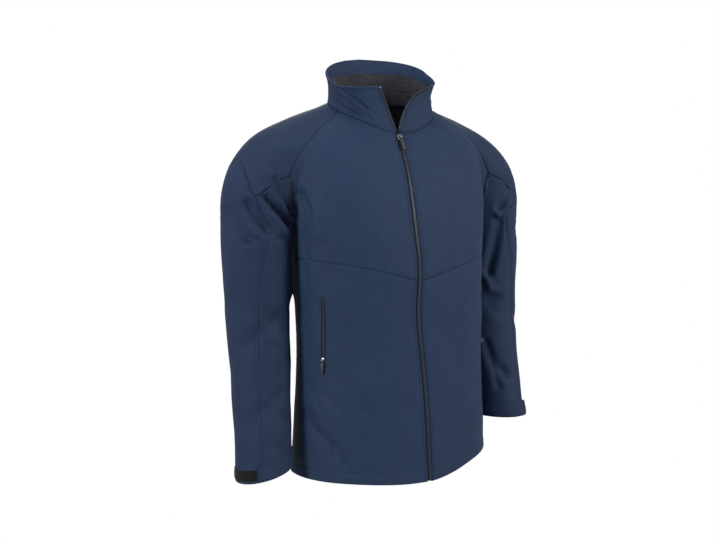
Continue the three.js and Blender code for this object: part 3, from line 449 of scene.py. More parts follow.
def smoothLine(stations):
    # A smooth line through its stations, with the same number of points between each two
    stations = np.asarray(stations)
    padded = np.vstack([2 * stations[0] - stations[1], stations, 2 * stations[-1] - stations[-2]])
    gaps = np.sqrt(np.maximum(np.linalg.norm(np.diff(padded, axis=0), axis=1), 1e-3))
    line = []
    for i in range(len(stations) - 1):
        a, b, c, d = padded[i:i + 4]
        g0, g1, g2 = gaps[i:i + 3]
        start = ((b - a) / g0 - (c - a) / (g0 + g1) + (c - b) / g1) * g1
        end = ((c - b) / g1 - (d - b) / (g1 + g2) + (d - c) / g2) * g1
        t = np.arange(perStation)[:, None] / perStation
        line.append((2 * t ** 3 - 3 * t ** 2 + 1) * b + (t ** 3 - 2 * t ** 2 + t) * start
                    + (3 * t ** 2 - 2 * t ** 3) * c + (t ** 3 - t ** 2) * end)
    return np.vstack([*line, stations[-1:]])


def span(line, first, last):
    # The part of a smooth line from one of its stations to another, backwards if last comes first
    low, high = min(first, last) * perStation, max(first, last) * perStation
    part = line[low:high + 1]
    return part if last > first else part[::-1]


def joined(*lines):
    return np.vstack([lines[0], *(line[1:] for line in lines[1:])])


def through(line, s):
    at = np.clip(s, 0, 1) * (len(line) - 1)
    i = np.minimum(at.astype(int), len(line) - 2)
    t = (at - i)[:, None]
    return line[i] * (1 - t) + line[i + 1] * t


# Seams: places along each raglan seam, as x and height, from the neck down to the armpit
raglanFront = [
    [131, -46], [153, -60], [172, -75], [188, -90], [201, -106], [211, -122], [219, -137],
    [225, -152], [224, -170], [218, -188], [212, -207]]
raglanBack = [
    [112, -20], [138, -36], [161, -53], [180, -71], [195, -90], [206, -110], [212, -131],
    [214, -152], [211, -170], [204, -188], [196, -207], [189, -228]]
yokeSteps = 8
sleeveCut = {
    "topZ": -188, "crossTopZ": -120, "corner": 61, "crossAngle": 84, "crossZ": -168,
    "front": makeCurve([
        [-740, 68], [-600, 66], [-500, 67], [-400, 70], [-327, 78], [-238, 87], [-218, 72], [-188, 61]]),
    "back": makeCurve([[-740, -100], [-500, -100], [-330, -96], [-240, -84], [-188, -61]]),
    "crossAngles": [61, 46, 31, 23, 15, 8, 0, -8, -15, -23, -31, -46, -61],
    # the cross seam's stations where the long seams and the outer sleeve's top begin
    "seamStation": 2,
    "topStation": 4,
    "steps": 17,
    "cuffZ": {"right": -716, "left": -655},
    "cuffTilt": {"right": -13, "left": -2},
}
chest = {"z": -352, "rise": 42, "risePower": 1.3, "half": 205, "edge": 5, "sideY": 8, "sideTurn": 98,
         "hemTurns": (3, 102), "upperSteps": 3, "lowerSteps": 13, "columns": 8}


def raglanStations(side, facing):
    table = np.array(raglanFront if facing < 0 else raglanBack, float)
    end = slotEdge(side, facing)
    first = neckPoints(side, [neck["front"] if facing < 0 else neck["back"]])
    upper = fromFrontView(side * table[:, 0], table[:, 1], facing)
    lower = [slotPoint(side, end + (pit["y"] - end) * t) for t in (0, 0.5, 1)]
    return np.vstack([first, upper, *lower])


def chestSeamZ(x):
    return chest["z"] + chest["rise"] * (np.abs(x) / chest["half"]) ** chest["risePower"]


def sideStations(side):
    top = chestSeamZ(chest["half"])
    angle = math.degrees(math.atan2(side * chest["half"], torso["axisY"] - chest["sideY"]))
    hem = float(hemLine(angle)[0, 0])
    upper = pit["z"] + (top - pit["z"]) * np.arange(1, chest["upperSteps"] + 1) / chest["upperSteps"]
    lower = top + (hem - top) * np.arange(1, chest["lowerSteps"] + 1) / chest["lowerSteps"]

    def drop(z):
        origins = np.stack([np.full(len(z), side * 60.0), np.full(len(z), float(chest["sideY"])), z], axis=1)
        return leaveForm(origins, np.tile([float(side), 0.0, 0.0], (len(z), 1)))

    return drop(upper), drop(lower)


def torsoTurn(angles, z):
    turn = np.radians(angles)
    return settleOnTorso(np.stack([np.sin(turn), torso["axisY"] - np.cos(turn), z], axis=1))


def frontEdge(side, z):
    return fromFrontView(zipLine(z)[:, 0] + side * chest["edge"], z, -1)


seams = {}
for name, side in (("right", -1), ("left", 1)):
    upper, lower = sideStations(side)
    edgeX = float(zipLine(-80)[0, 0]) + side * chest["edge"]
    firstAngle = math.degrees(math.asin(side * edgeX / neck["half"]))
    seams[name] = {
        "side": side,
        "front": raglanStations(side, -1),
        "back": raglanStations(side, 1),
        "sideUpper": upper,
        "sideLower": lower,
        "neck": neckPoints(side, np.linspace(neck["front"], neck["back"], 17)),
        "frontNeck": neckPoints(side, np.linspace(firstAngle, neck["front"], 9)),
    }
print("seams laid out")


# Small creases, laid over the large folds: the pieces that each is on, its width, its depth at both
# ends, less than 0 where it stands out, and the points that it follows
creases = [
    # Right armpit, as the picture shows it
    ("arm", 5, (4, 11), (-256, -56, -158), (-250, -58, -182), (-231, -54, -206), (-214, -44, -226)),
    ("arm", 6, (-3, -6), (-272, -55, -180), (-244, -57, -202), (-212, -44, -232)),
    ("arm", 6, (13, 17), (-274, -54, -190), (-253, -56, -211), (-228, -50, -234), (-208, -42, -254)),
    ("arm", 8, (-3.5, -3), (-262, -56, -226), (-236, -52, -254), (-214, -46, -278)),
    ("arm", 6, (4.5, 2), (-243, -55, -266), (-222, -48, -275)),
    ("torso", 8, (7, 5), (-204, -62, -186), (-199, -76, -214), (-198, -75, -246), (-198, -66, -300),
     (-198, -60, -350)),
    ("torso", 10, (-1, -2.5), (-196, -88, -182), (-186, -98, -220), (-184, -96, -262)),
    ("arm", 8, (3, 7), (-316, 7, -214), (-313, -16, -247), (-300, -35, -270)),
    ("arm", 7, (4, 8), (-302, -31, -199), (-293, -41, -227), (-273, -52, -252)),
    ("arm", 8, (-1.5, -3), (-310, -19, -203), (-304, -33, -233), (-288, -47, -258)),
    ("arm", 6, (1, 5), (-271, -20, -112), (-265, -42, -129), (-253, -56, -151)),
    ("arm", 6, (-0.8, -2.6), (-280, -27, -132), (-271, -42, -138), (-258, -54, -153)),
    ("arm", 11, (0.8, 2.4), (-196, -26, -62), (-222, -44, -96), (-238, -54, -130)),
    ("arm", 13, (-0.6, -1.6), (-176, -8, -40), (-214, -22, -72), (-246, -34, -108)),
    # Sleeve and side swell towards each other, so that daylight shows only lower down
    ("arm", 14, (-1.5, -5), (-207, -24, -296), (-205, -17, -340), (-205, -15, -374)),
    ("torso", 14, (-1.5, -5), (-187, 23, -296), (-187, 16, -340), (-183, 15, -374)),
    # Right sleeve at the elbow and above the cuff
    ("arm", 12, (1.2, 3), (-312, 6, -372), (-290, -42, -404), (-236, -46, -440)),
    ("arm", 11, (1, 2.6), (-306, -18, -440), (-272, -54, -470), (-226, -34, -492)),
    ("arm", 12, (2.4, 1), (-234, -48, -505), (-262, -58, -540), (-300, -40, -560)),
    ("arm", 10, (1, 2.4), (-287, -62, -586), (-262, -70, -602), (-228, -56, -612)),
    ("arm", 11, (1.2, 2), (-312, -40, -622), (-292, -72, -646), (-252, -82, -668)),
    ("arm", 14, (1, 1.8), (-322, -8, -470), (-320, 16, -530), (-322, -20, -600)),
    ("arm", 16, (1.5, 1), (-328, 20, -300), (-326, 30, -372), (-322, 20, -440)),
    # Right lower front, running down from the pocket
    ("torso", 6, (1, 2.2), (-190, -62, -556), (-183, -90, -584), (-174, -110, -618)),
    ("torso", 6, (1, 2.6), (-191, -60, -620), (-179, -92, -639), (-164, -117, -664)),
    ("torso", 5.5, (1, 2.6), (-176, -103, -624), (-167, -116, -649), (-163, -120, -680)),
    ("torso", 8, (-0.8, -1.8), (-184, -84, -628), (-172, -106, -658), (-158, -126, -690)),
    ("torso", 6, (1.6, 1.2), (-152, -132, -690), (-140, -145, -712)),
    ("torso", 18, (1, 1.6), (-172, -104, -520), (-150, -130, -560), (-110, -152, -600)),
    ("torso", 12, (1, 1.8), (-186, -70, -380), (-176, -96, -420), (-166, -108, -470)),
    # Under the collar and beside the zip
    ("torso", 7, (1, 2), (104, -70, -64), (76, -82, -71), (48, -90, -80)),
    ("torso", 12, (0.6, 1.4), (-96, -76, -70), (-70, -88, -84), (-44, -98, -104)),
    ("torso", 16, (1.2, 1), (150, -92, -150), (128, -112, -200), (120, -124, -260)),
    ("torso", 13, (1.4, 1.8), (176, -84, -180), (166, -98, -250), (168, -100, -320)),
    ("torso", 16, (1, 0.6), (-150, -96, -150), (-132, -112, -196), (-126, -122, -250)),
    # Left sleeve, as the picture shows it
    ("arm", 7, (0, 9), (284, -44, -190), (266, -54, -204), (257, -54, -224)),
    ("arm", 6, (-1, -6), (296, -40, -204), (280, -49, -214), (256, -54, -238)),
    ("arm", 8, (6, 9), (276, -50, -226), (256, -54, -256), (246, -50, -306), (236, -44, -356)),
    ("arm", 7, (-4, -2), (230, -40, -360), (240, -48, -392), (262, -54, -398), (300, -42, -368)),
    ("arm", 10, (3, 1.5), (232, -52, -420), (252, -60, -440), (296, -46, -452)),
    ("arm", 7, (3.5, 3), (226, -52, -500), (236, -64, -546), (242, -76, -590)),
    ("arm", 8, (4, 1), (250, -72, -556), (264, -78, -574), (292, -66, -584)),
    ("arm", 12, (1, 2), (306, -30, -500), (300, -52, -540), (276, -74, -610)),
    ("arm", 11, (0.6, 2), (196, -26, -62), (224, -42, -96), (246, -50, -132)),
    ("arm", 12, (0.8, 1.6), (278, 6, -110), (298, -8, -150), (308, -20, -186)),
    ("arm", 16, (1.5, 1), (330, 24, -300), (330, 34, -380), (326, 20, -450)),
    # Left lower front
    ("torso", 14, (1.6, 1), (192, -60, -430), (184, -86, -470), (168, -110, -520)),
    ("torso", 13, (1.2, 1.8), (190, -64, -560), (176, -98, -610), (150, -130, -668)),
    ("torso", 20, (0.8, 1), (80, -146, -430), (90, -146, -520), (96, -148, -610)),
    # Backs of the sleeves, like their fronts
    ("arm", 7, (6, 2), (-220, 84, -236), (-246, 92, -214), (-284, 86, -186)),
    ("arm", 8, (-3, -1), (-224, 84, -262), (-256, 88, -244), (-300, 68, -216)),
    ("arm", 8, (4.5, 1), (-228, 82, -292), (-262, 84, -272), (-308, 54, -246)),
    ("arm", 12, (2.6, 1), (-226, 74, -352), (-262, 82, -372), (-306, 56, -392)),
    ("arm", 10, (3, 1), (-232, 66, -440), (-262, 74, -456), (-304, 52, -482)),
    ("arm", 11, (2.4, 1), (-238, 56, -520), (-266, 60, -544), (-304, 36, -560)),
    ("arm", 10, (2, 1), (-246, 28, -620), (-272, 34, -640), (-308, 12, -668)),
    ("arm", 7, (6, 2), (222, 84, -238), (250, 92, -218), (290, 84, -190)),
    ("arm", 8, (-3, -1), (226, 84, -268), (258, 88, -252), (304, 66, -222)),
    ("arm", 8, (4.5, 1), (230, 82, -304), (264, 82, -288), (312, 52, -262)),
    ("arm", 11, (3, 1), (232, 70, -372), (266, 78, -386), (312, 52, -408)),
    ("arm", 11, (2.6, 1), (240, 58, -456), (268, 66, -476), (308, 42, -498)),
    ("arm", 10, (2, 1), (248, 36, -560), (272, 40, -580), (306, 20, -606)),
    ("arm", 12, (0.6, 2), (-190, 76, -70), (-222, 84, -104), (-244, 88, -146)),
    ("arm", 12, (0.6, 2), (190, 76, -72), (224, 84, -110), (248, 88, -152)),
    # Back
    ("torso", 9, (4, 1.5), (-196, 66, -262), (-168, 86, -300), (-126, 98, -352)),
    ("torso", 10, (3, 0.6), (-190, 72, -238), (-160, 92, -262), (-112, 104, -296)),
    ("torso", 9, (4, 1.5), (194, 64, -270), (168, 84, -314), (124, 98, -372)),
    ("torso", 10, (3, 0.6), (188, 74, -242), (160, 92, -270), (116, 104, -300)),
    ("torso", 15, (2.4, 1), (-176, 66, -460), (-120, 88, -486), (-50, 94, -500)),
    ("torso", 15, (2.4, 1), (178, 62, -500), (126, 84, -524), (60, 92, -536)),
    ("torso", 13, (2, 1), (-182, 52, -590), (-140, 80, -622), (-70, 94, -640)),
    ("torso", 13, (2, 1), (184, 48, -620), (138, 80, -646), (80, 94, -656)),
    ("torso", 20, (0.6, 1.4), (-24, 107, -60), (-30, 111, -130), (-26, 110, -200)),
    ("torso", 20, (0.8, 1.2), (30, 107, -64), (34, 111, -140), (28, 110, -220)),
    ("torso", 20, (1, 2), (0, 94, -560), (6, 96, -640), (2, 99, -716)),
    ("torso", 15, (1.6, 2), (-202, 10, -420), (-196, 24, -500), (-198, 16, -580)),
    ("torso", 15, (1.6, 2), (202, 10, -440), (198, 26, -520), (200, 18, -600)),
]


creaseSwell = 0.22


def creaseProfile(off):
    # A trough with a low swell on both sides, as bent cloth has
    return bell(off, 1) - creaseSwell * bell(off - 2.1, 0.9)


def creaseSum(p, part):
    total = np.zeros(len(p))
    for on, width, (firstDepth, lastDepth), *path in creases:
        if on != part:
            continue
        path = np.array(path, float)
        reached = reachedAlong(path)
        reached /= reached[-1]
        nearest = np.full(len(p), 1e9)
        along = np.zeros(len(p))
        for i in range(len(path) - 1):
            line = path[i + 1] - path[i]
            t = np.clip((p - path[i]) @ line / (line @ line), 0, 1)
            off = np.linalg.norm(p - path[i] - t[:, None] * line, axis=1)
            closer = off < nearest
            nearest = np.where(closer, off, nearest)
            along = np.where(closer, reached[i] + t * (reached[i + 1] - reached[i]), along)
        depth = firstDepth + (lastDepth - firstDepth) * easeStep(along)
        total += depth * creaseProfile(nearest / width)
    return total


def fineSteps(length, spacing):
    # Positions from 0 to 1, closer together beside both edges so that the sewing shows
    edge = [0, 0.7, 1.5, 2.5, 3.7, 5.0, 6.3, 8.2, 11]
    inner = np.arange(edge[-1], length / 2 - spacing / 3, spacing)
    half = np.concatenate([edge[:-1], inner])
    return np.concatenate([half, [length / 2], (length - half)[::-1]]) / length


def coonsGrid(edges, u, v, settle):
    # Points between four edges, settled on the form
    top, bottom, left, right = edges
    across = u[None, :, None]
    down = v[:, None, None]
    grid = (through(top, u)[None] * (1 - down) + through(bottom, u)[None] * down
            + through(left, v)[:, None] * (1 - across) + through(right, v)[:, None] * across)
    grid = grid - (top[0] * (1 - across) * (1 - down) + top[-1] * across * (1 - down)
                   + bottom[0] * (1 - across) * down + bottom[-1] * across * down)
    return settle(grid.reshape(-1, 3)).reshape(grid.shape)


def edgeDistances(grid):
    across = np.linalg.norm(np.diff(grid, axis=1), axis=2)
    down = np.linalg.norm(np.diff(grid, axis=0), axis=2)
    left = np.concatenate([np.zeros((grid.shape[0], 1)), np.cumsum(across, axis=1)], axis=1)
    top = np.concatenate([np.zeros((1, grid.shape[1])), np.cumsum(down, axis=0)], axis=0)
    return {"left": left, "right": left[:, -1:] - left, "top": top, "bottom": top[-1:] - top}


def drift(p, size, seed):
    # Slow waves in three directions, for cloth that never lies quite flat
    q = p / size
    slant = np.sin(q[:, 0] * 2.1 + 1.7 * np.sin(q[:, 2] * 1.3 + seed))
    return (slant * np.sin(q[:, 2] * 1.9 + 1.1 * np.sin(q[:, 1] * 1.7 + seed))
            + 0.5 * np.sin(q[:, 1] * 2.9 + q[:, 2] * 2.3 + seed))


sewing = {
    "sink": 1.3,          # a seam draws the cloth in
    "sinkWidth": 1.5,
    "stitchSink": 0.9,
    "stitchWidth": 1.2,
    "pucker": 0.3,
    "puckerLength": 17.0,
    "puckerReach": 9.0,
    "puckerStart": 3.0,
    "hemAt": 20.0,
    "hemRise": 0.7,
    "hemEdge": 1.2,
    "wall": 1.3,
    "pressedWall": 0.25,  # the part of the wall that is left at a seam, where the cloth is pressed flat
    "pressed": 8.0,
    "allowance": 2.6,
    "seamReach": 3.0,     # two pieces share their normals this near to a seam
    "creaseFade": 9.0,
    "driftSize": 70.0,
}
# One stitch of spun thread, lying along the seam
stitch = {"length": 2.9, "pitch": 3.7, "radius": 0.36, "rise": 0.12}


def relief(grid, sewn, hems, seed, stitchLines):
    distance = edgeDistances(grid)
    total = np.zeros(grid.shape[:2])
    for edge in sewn:
        d = distance[edge]
        along = distance["top" if edge in ("left", "right") else "left"]
        total -= sewing["sink"] * bell(d, sewing["sinkWidth"])
        wave = np.sin(along * 2 * math.pi / sewing["puckerLength"] + 2.3 * np.sin(along / 31 + seed) + seed)
        near = bell(d, sewing["puckerReach"]) * (1 - bell(d, sewing["puckerStart"]))
        total += sewing["pucker"] * wave * near
    for edge in hems:
        d = distance[edge]
        total += sewing["hemRise"] * easeStep((sewing["hemAt"] + 1 - d) / 2)
        total -= sewing["hemRise"] * bell(d, sewing["hemEdge"])
    for edge, at in stitchLines:
        total -= sewing["stitchSink"] * bell(distance[edge] - at, sewing["stitchWidth"])
    return total


def makeMesh(name, grids, materials, thickness=None):
    verts = []
    faces = []
    count = 0
    for grid in grids:
        rows, columns = grid.shape[:2]
        verts.append(grid.reshape(-1, 3) * 0.001)
        a = (np.arange(rows - 1)[:, None] * columns + np.arange(columns - 1)[None]).ravel() + count
        faces.append(np.stack([a, a + columns, a + columns + 1, a + 1], axis=1))
        count += rows * columns
    return meshFrom(name, np.vstack(verts), np.vstack(faces).tolist(), materials, thickness)


def bands(ringCount, sides):
    # Faces between rings of points, each with as many sides
    return [[a + k, a + (k + 1) % sides, a + sides + (k + 1) % sides, a + sides + k]
            for a in range(0, (ringCount - 1) * sides, sides) for k in range(sides)]


def meshFrom(name, verts, faces, materials, thickness=None):
    mesh = bpy.data.meshes.new(name)
    mesh.from_pydata(verts.tolist(), [], faces)
    mesh.polygons.foreach_set("use_smooth", [True] * len(mesh.polygons))
    obj = bpy.data.objects.new(name, mesh)
    bpy.context.collection.objects.link(obj)
    for material in materials:
        mesh.materials.append(material)
    if thickness:
        wall = obj.modifiers.new("wall", "SOLIDIFY")
        wall.thickness = thickness * 0.001
        wall.offset = -1
        if len(materials) > 1:
            wall.material_offset = 1
    return obj


def swapped(edge, grid):
    return grid.swapaxes(0, 1) if edge in ("left", "right") else grid


def flipped(edge, grid):
    return grid[::-1] if edge in ("bottom", "right") else grid


def turnUnder(grid, normals, edges, depth):
    # Seam allowance: past each sewn edge the cloth runs on under its neighbour, so no light comes through
    for edge in edges:
        grid, normals = [flipped(edge, swapped(edge, g)) for g in (grid, normals)]
        past = grid[0] - grid[1]
        past = unit(past - normals[0] * (past * normals[0]).sum(axis=1, keepdims=True))
        under = grid[0] + past * depth * 0.6 - normals[0] * depth
        longer = np.concatenate([under[None], grid]), np.concatenate([normals[:1], normals])
        grid, normals = [swapped(edge, flipped(edge, g)) for g in longer]
    return grid, normals


def faceOut(grid, normals):
    # Rows are turned round where needed so that the faces look away from the wearer
    n = np.cross(np.gradient(grid, axis=0), np.gradient(grid, axis=1))
    return grid if (n * normals).sum() > 0 else grid[:, ::-1]


def gridArea(grid):
    down, across = np.diff(grid, axis=0)[:, 1:], np.diff(grid, axis=1)[1:]
    return np.linalg.norm(np.cross(down, across), axis=2).sum() * 1e-6


def declareCloth(obj, spec):
    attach(obj, "jacket")
    if spec["nodes"]:
        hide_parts(*spec["nodes"])


def layCloth(name, runs, material, wall, spec):
    # A strip of cloth over the others, from its grids and their normals
    obj = makeMesh(name, [faceOut(*run) for run in runs], [material], wall)
    declareCloth(obj, {**spec, "area": sum(gridArea(run[0]) for run in runs)})


def declareHard(obj, node, body="jacket"):
    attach(obj, body)
    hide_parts(node)


threads = {"body": [], "sleeve": [], "collar": []}


def besideEdge(grid, normals, edge, at):
    # The line on the cloth that stays one distance from an edge, with the cloth's normals there
    grid, normals = [flipped(edge, swapped(edge, g)) for g in (grid, normals)]
    reached = edgeDistances(grid)["top"]
    i = np.clip((reached < at).sum(axis=0) - 1, 0, len(grid) - 2)
    j = np.arange(grid.shape[1])
    t = ((at - reached[i, j]) / np.maximum(reached[i + 1, j] - reached[i, j], 1e-6))[:, None]
    return grid[i, j] * (1 - t) + grid[i + 1, j] * t, normals[i, j] * (1 - t) + normals[i + 1, j] * t


def addStitches(kind, line, normals, trim):
    reached = reachedAlong(line)
    middles = np.arange(trim + stitch["pitch"] / 2, reached[-1] - trim, stitch["pitch"])

    def read(values, at):
        return np.stack([np.interp(at, reached, values[:, k]) for k in range(3)], axis=1)

    centre = read(line, middles)
    along = read(line, middles + 1) - read(line, middles - 1)
    keep = np.linalg.norm(along, axis=1) > 0.5
    up = unit(read(normals, middles)[keep])
    threads[kind].append((centre[keep] + up * stitch["rise"], unit(along[keep]), up))


def sewThreads(name, kind):
    centre, along, up = [np.vstack(parts) for parts in zip(*threads[kind])]
    across = unit(np.cross(along, up))
    half, radius = stitch["length"] / 2, stitch["radius"]
    rings = [(-half, 0.25, -0.25), (-half * 0.55, 1, 0), (half * 0.55, 1, 0), (half, 0.25, -0.25)]
    sides = 5
    verts = []
    for at, width, lift in rings:
        for k in range(sides):
            turn = 2 * math.pi * k / sides
            verts.append(centre + along * at + across * (radius * width * math.cos(turn))
                         + up * (radius * (width * math.sin(turn) + lift)))
    verts = np.stack(verts, axis=1).reshape(-1, 3) * 0.001
    count = len(rings) * sides
    faces = [[v + i * count for v in face] for i in range(len(centre)) for face in bands(len(rings), sides)]
    # The thread's dark colour is painted shade along the stitch lines
    obj = meshFrom(name, verts, faces, [threadWithPaintedShade])
    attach(obj, "jacket")
    print(f"{name}: {len(centre)} stitches")


cloths = {
    "sleeve": {"on": "arm", "thread": "sleeve", "face": sleeveCloth, "slot": "sleeve_cloth"},
    "body": {"on": "torso", "thread": "body", "face": bodyCloth, "slot": "body_cloth"},
}
panels = {}
# Beside the sliders the cloth lies as the solid does, so that they sit on it
calmSpots = [((-10, -91, -80), 30), ((-173, -93, -499), 26), ((182, -95, -487), 26)]


def sewPanel(name, edges, settle, spec):
    spec = {**cloths[spec["cloth"]], **spec}
    top, bottom, left, right = edges
    u = fineSteps(0.5 * (reachedAlong(top)[-1] + reachedAlong(bottom)[-1]), spec["spacing"])
    v = fineSteps(0.5 * (reachedAlong(left)[-1] + reachedAlong(right)[-1]), spec["spacing"])
    grid = coonsGrid(edges, u, v, settle)
    grid[0], grid[-1] = through(top, u), through(bottom, u)
    grid[:, 0], grid[:, -1] = through(left, v), through(right, v)
    flat = grid.reshape(-1, 3)
    distance = edgeDistances(grid)
    toSeam = np.minimum.reduce([distance[e] for e in spec["sewn"]])
    atSeam = bell(toSeam, sewing["seamReach"])[..., None]
    own, shared = [outward(flat, part).reshape(grid.shape) for part in (spec["part"], None)]
    normals = unit(own * (1 - atSeam) + shared * atSeam)
    shift = relief(grid, spec["sewn"], spec["hems"], spec["seed"], spec["stitches"])
    # Creases fade out at the seams, where two pieces have to meet
    inside = 1 - bell(toSeam, sewing["creaseFade"])
    soft = spec["drift"] * drift(flat, sewing["driftSize"], 1.0) - creaseSum(flat, spec["on"])
    for spot, reach in calmSpots:
        soft = soft * (1 - bell(np.linalg.norm(flat - spot, axis=1), reach))
    cloth = grid + normals * (shift + inside * soft.reshape(shift.shape))[..., None]
    wide, wideNormals = turnUnder(cloth, normals, spec["sewn"], sewing["allowance"])
    facing = faceOut(wide, wideNormals)
    obj = makeMesh(name, [facing], [spec["face"], fleeceCloth], sewing["wall"])
    # The wall thins out at the seams, where the cloth is pressed flat
    reach = edgeDistances(facing)
    sides = [{"left": "right", "right": "left"}.get(e, e) if facing is not wide else e for e in spec["sewn"]]
    pressed = np.minimum.reduce([reach[e] for e in sides]).ravel() < sewing["pressed"]
    wallGroup = obj.vertex_groups.new(name="wall")
    wallGroup.add(np.flatnonzero(pressed).tolist(), sewing["pressedWall"], "REPLACE")
    wallGroup.add(np.flatnonzero(~pressed).tolist(), 1.0, "REPLACE")
    obj.modifiers["wall"].vertex_group = "wall"
    declareCloth(obj, spec)
    for edge, at in spec["stitches"]:
        addStitches(spec["thread"], *besideEdge(cloth, normals, edge, at), 2)
    panels[spec["nodes"][0]] = {"edges": edges, "settle": settle, "u": u, "v": v, "cloth": cloth,
                                "normals": normals}
    print(f"{name}: {cloth.shape[0]} x {cloth.shape[1]} points, {gridArea(cloth):.4f} square metres of cloth")


for name, s in seams.items():
    side = s["side"]
    cut = sleeveCut
    crossAngles = np.array(cut["crossAngles"], float)
    crossCount = len(crossAngles)
    crossZ = cut["crossTopZ"] + (cut["topZ"] - cut["crossTopZ"]) * (crossAngles / cut["corner"]) ** 2
    frontLeg = fromArm(name, cut["crossAngle"], cut["crossZ"])
    backLeg = fromArm(name, -cut["crossAngle"], cut["crossZ"])
    front = smoothLine(s["front"])
    back = smoothLine(s["back"])
    slotFront = len(s["front"]) - 1
    slotBack = len(s["back"]) - 1
    yoke = smoothLine(np.vstack([s["front"][yokeSteps], frontLeg, fromArm(name, crossAngles, crossZ), backLeg,
                                 s["back"][yokeSteps]]))
    yokeEnd = crossCount + 3
    seamAt, topAt = cut["seamStation"], cut["topStation"]
    s["neckLine"] = smoothLine(s["neck"])
    s["backLine"] = back

    shoulderPanel = {
        "nodes": [f"shoulder_panel_{name}"], "cloth": "sleeve", "part": None, "spacing": 3.6,
        "sewn": ["top", "bottom", "left", "right"], "hems": [], "seed": 1.3 + side, "drift": 0.5,
        "flat": (0.22, 0.25), "area": 0.041,
        "stitches": [("left", 2.5), ("right", 2.5), ("bottom", 2.5)],
    }
    shoulderEdges = (s["neckLine"], yoke, span(front, 0, yokeSteps), span(back, 0, yokeSteps))
    sewPanel(f"shoulderPanel_{name}", shoulderEdges, settleOnShoulder(side), shoulderPanel)

    cuffZ = cut["cuffZ"][name]
    tilt = cut["cuffTilt"][name]

    def cuffHeight(angle):
        return cuffZ + tilt * np.cos(np.radians(angle))

    def sleeveSeam(curve, first):
        end = float(curve(-720)[0, 0])
        z = np.linspace(cut["topZ"], float(cuffHeight(end)), cut["steps"] + 1)
        return smoothLine(np.vstack([first, fromArm(name, curve(z[1:])[:, 0], z[1:])])), end

    frontSeam, frontEnd = sleeveSeam(cut["front"], yoke[seamAt * perStation])
    backSeam, backEnd = sleeveSeam(cut["back"], yoke[(yokeEnd - seamAt) * perStation])

    def cuffRun(start, end, count):
        angles = np.linspace(start, end, count + 1)
        run = fromArm(name, angles, cuffHeight(angles))
        run[0], run[-1] = frontSeam[-1], backSeam[-1]
        return smoothLine(run)

    outerSleeve = {
        "nodes": [f"outer_sleeve_{name}"], "cloth": "sleeve", "part": "arm", "spacing": 3.6,
        "sewn": ["top", "left", "right"], "hems": ["bottom"], "seed": 2.1 + side, "drift": 0.7,
        "flat": (0.22, 0.6), "area": 0.1,
        "stitches": [("left", 2.5), ("left", 8), ("right", 2.5), ("right", 8), ("bottom", 20)],
    }
    outerEdges = (
        span(yoke, topAt, yokeEnd - topAt), cuffRun(frontEnd, backEnd, yokeEnd - 2 * topAt),
        joined(span(yoke, topAt, seamAt), frontSeam),
        joined(span(yoke, yokeEnd - topAt, yokeEnd - seamAt), backSeam))
    sewPanel(f"outerSleeve_{name}", outerEdges, settleOnArm(name), outerSleeve)

    underSleeve = {
        "nodes": [f"under_sleeve_{name}"], "cloth": "sleeve", "part": "arm", "spacing": 3.4,
        "sewn": ["top", "left", "right"], "hems": ["bottom"], "seed": 3.7 + side, "drift": 0.6,
        "flat": (0.26, 0.56), "area": 0.106,
        "stitches": [("bottom", 20)],
    }
    underTop = joined(span(yoke, seamAt, 0), span(front, yokeSteps, slotFront),
                      span(back, slotBack, yokeSteps), span(yoke, yokeEnd, yokeEnd - seamAt))
    underEdges = (underTop, cuffRun(frontEnd, 360 + backEnd, 15), frontSeam, backSeam)
    sewPanel(f"underSleeve_{name}", underEdges, settleOnArm(name), underSleeve)

    # Fronts
    upperSide = smoothLine(np.vstack([s["front"], s["sideUpper"]]))
    upperSide[:slotFront * perStation] = front[:slotFront * perStation]
    turn = np.radians(np.linspace(0, chest["sideTurn"], chest["columns"] + 1))
    chestRun = settleOnTorso(np.stack([side * np.sin(turn), torso["axisY"] - np.cos(turn),
                                       chestSeamZ(chest["half"] * np.sin(turn))], axis=1))
    chestRun[0] = frontEdge(side, np.array([float(chest["z"])]))[0]
    chestRun[-1] = s["sideUpper"][-1]
    chestRun = smoothLine(chestRun)
    edgeZ = np.linspace(s["frontNeck"][0, 2], chest["z"], len(s["front"]) + len(s["sideUpper"]))
    upperEdge = frontEdge(side, edgeZ)
    upperEdge[0] = s["frontNeck"][0]

    frontUpper = {
        "nodes": [f"front_upper_{name}"], "cloth": "body", "part": "torso", "spacing": 3.6,
        "sewn": ["top", "bottom", "left", "right"], "hems": [], "seed": 4.4 + side, "drift": 0.6,
        "flat": (0.28, 0.33), "area": 0.071,
        "stitches": [("left", 6), ("bottom", 2.5)],
    }
    s["frontNeckLine"] = smoothLine(s["frontNeck"])
    upperEdges = (s["frontNeckLine"], chestRun, smoothLine(upperEdge), upperSide)
    sewPanel(f"frontUpper_{name}", upperEdges, settleOnTorso, frontUpper)

    lowerSide = smoothLine(np.vstack([s["sideUpper"][-1:], s["sideLower"]]))
    s["sideLine"] = joined(span(upperSide, slotFront, slotFront + chest["upperSteps"]), lowerSide)
    hemZ = float(hemLine(0)[0, 0])
    lowerEdge = smoothLine(frontEdge(side, np.linspace(chest["z"], hemZ, chest["lowerSteps"] + 1)))
    hemAngles = side * np.linspace(*chest["hemTurns"], chest["columns"] + 1)
    hemRun = torsoTurn(hemAngles, hemLine(hemAngles)[:, 0])
    hemRun[0] = lowerEdge[-1]
    hemRun[-1] = lowerSide[-1]

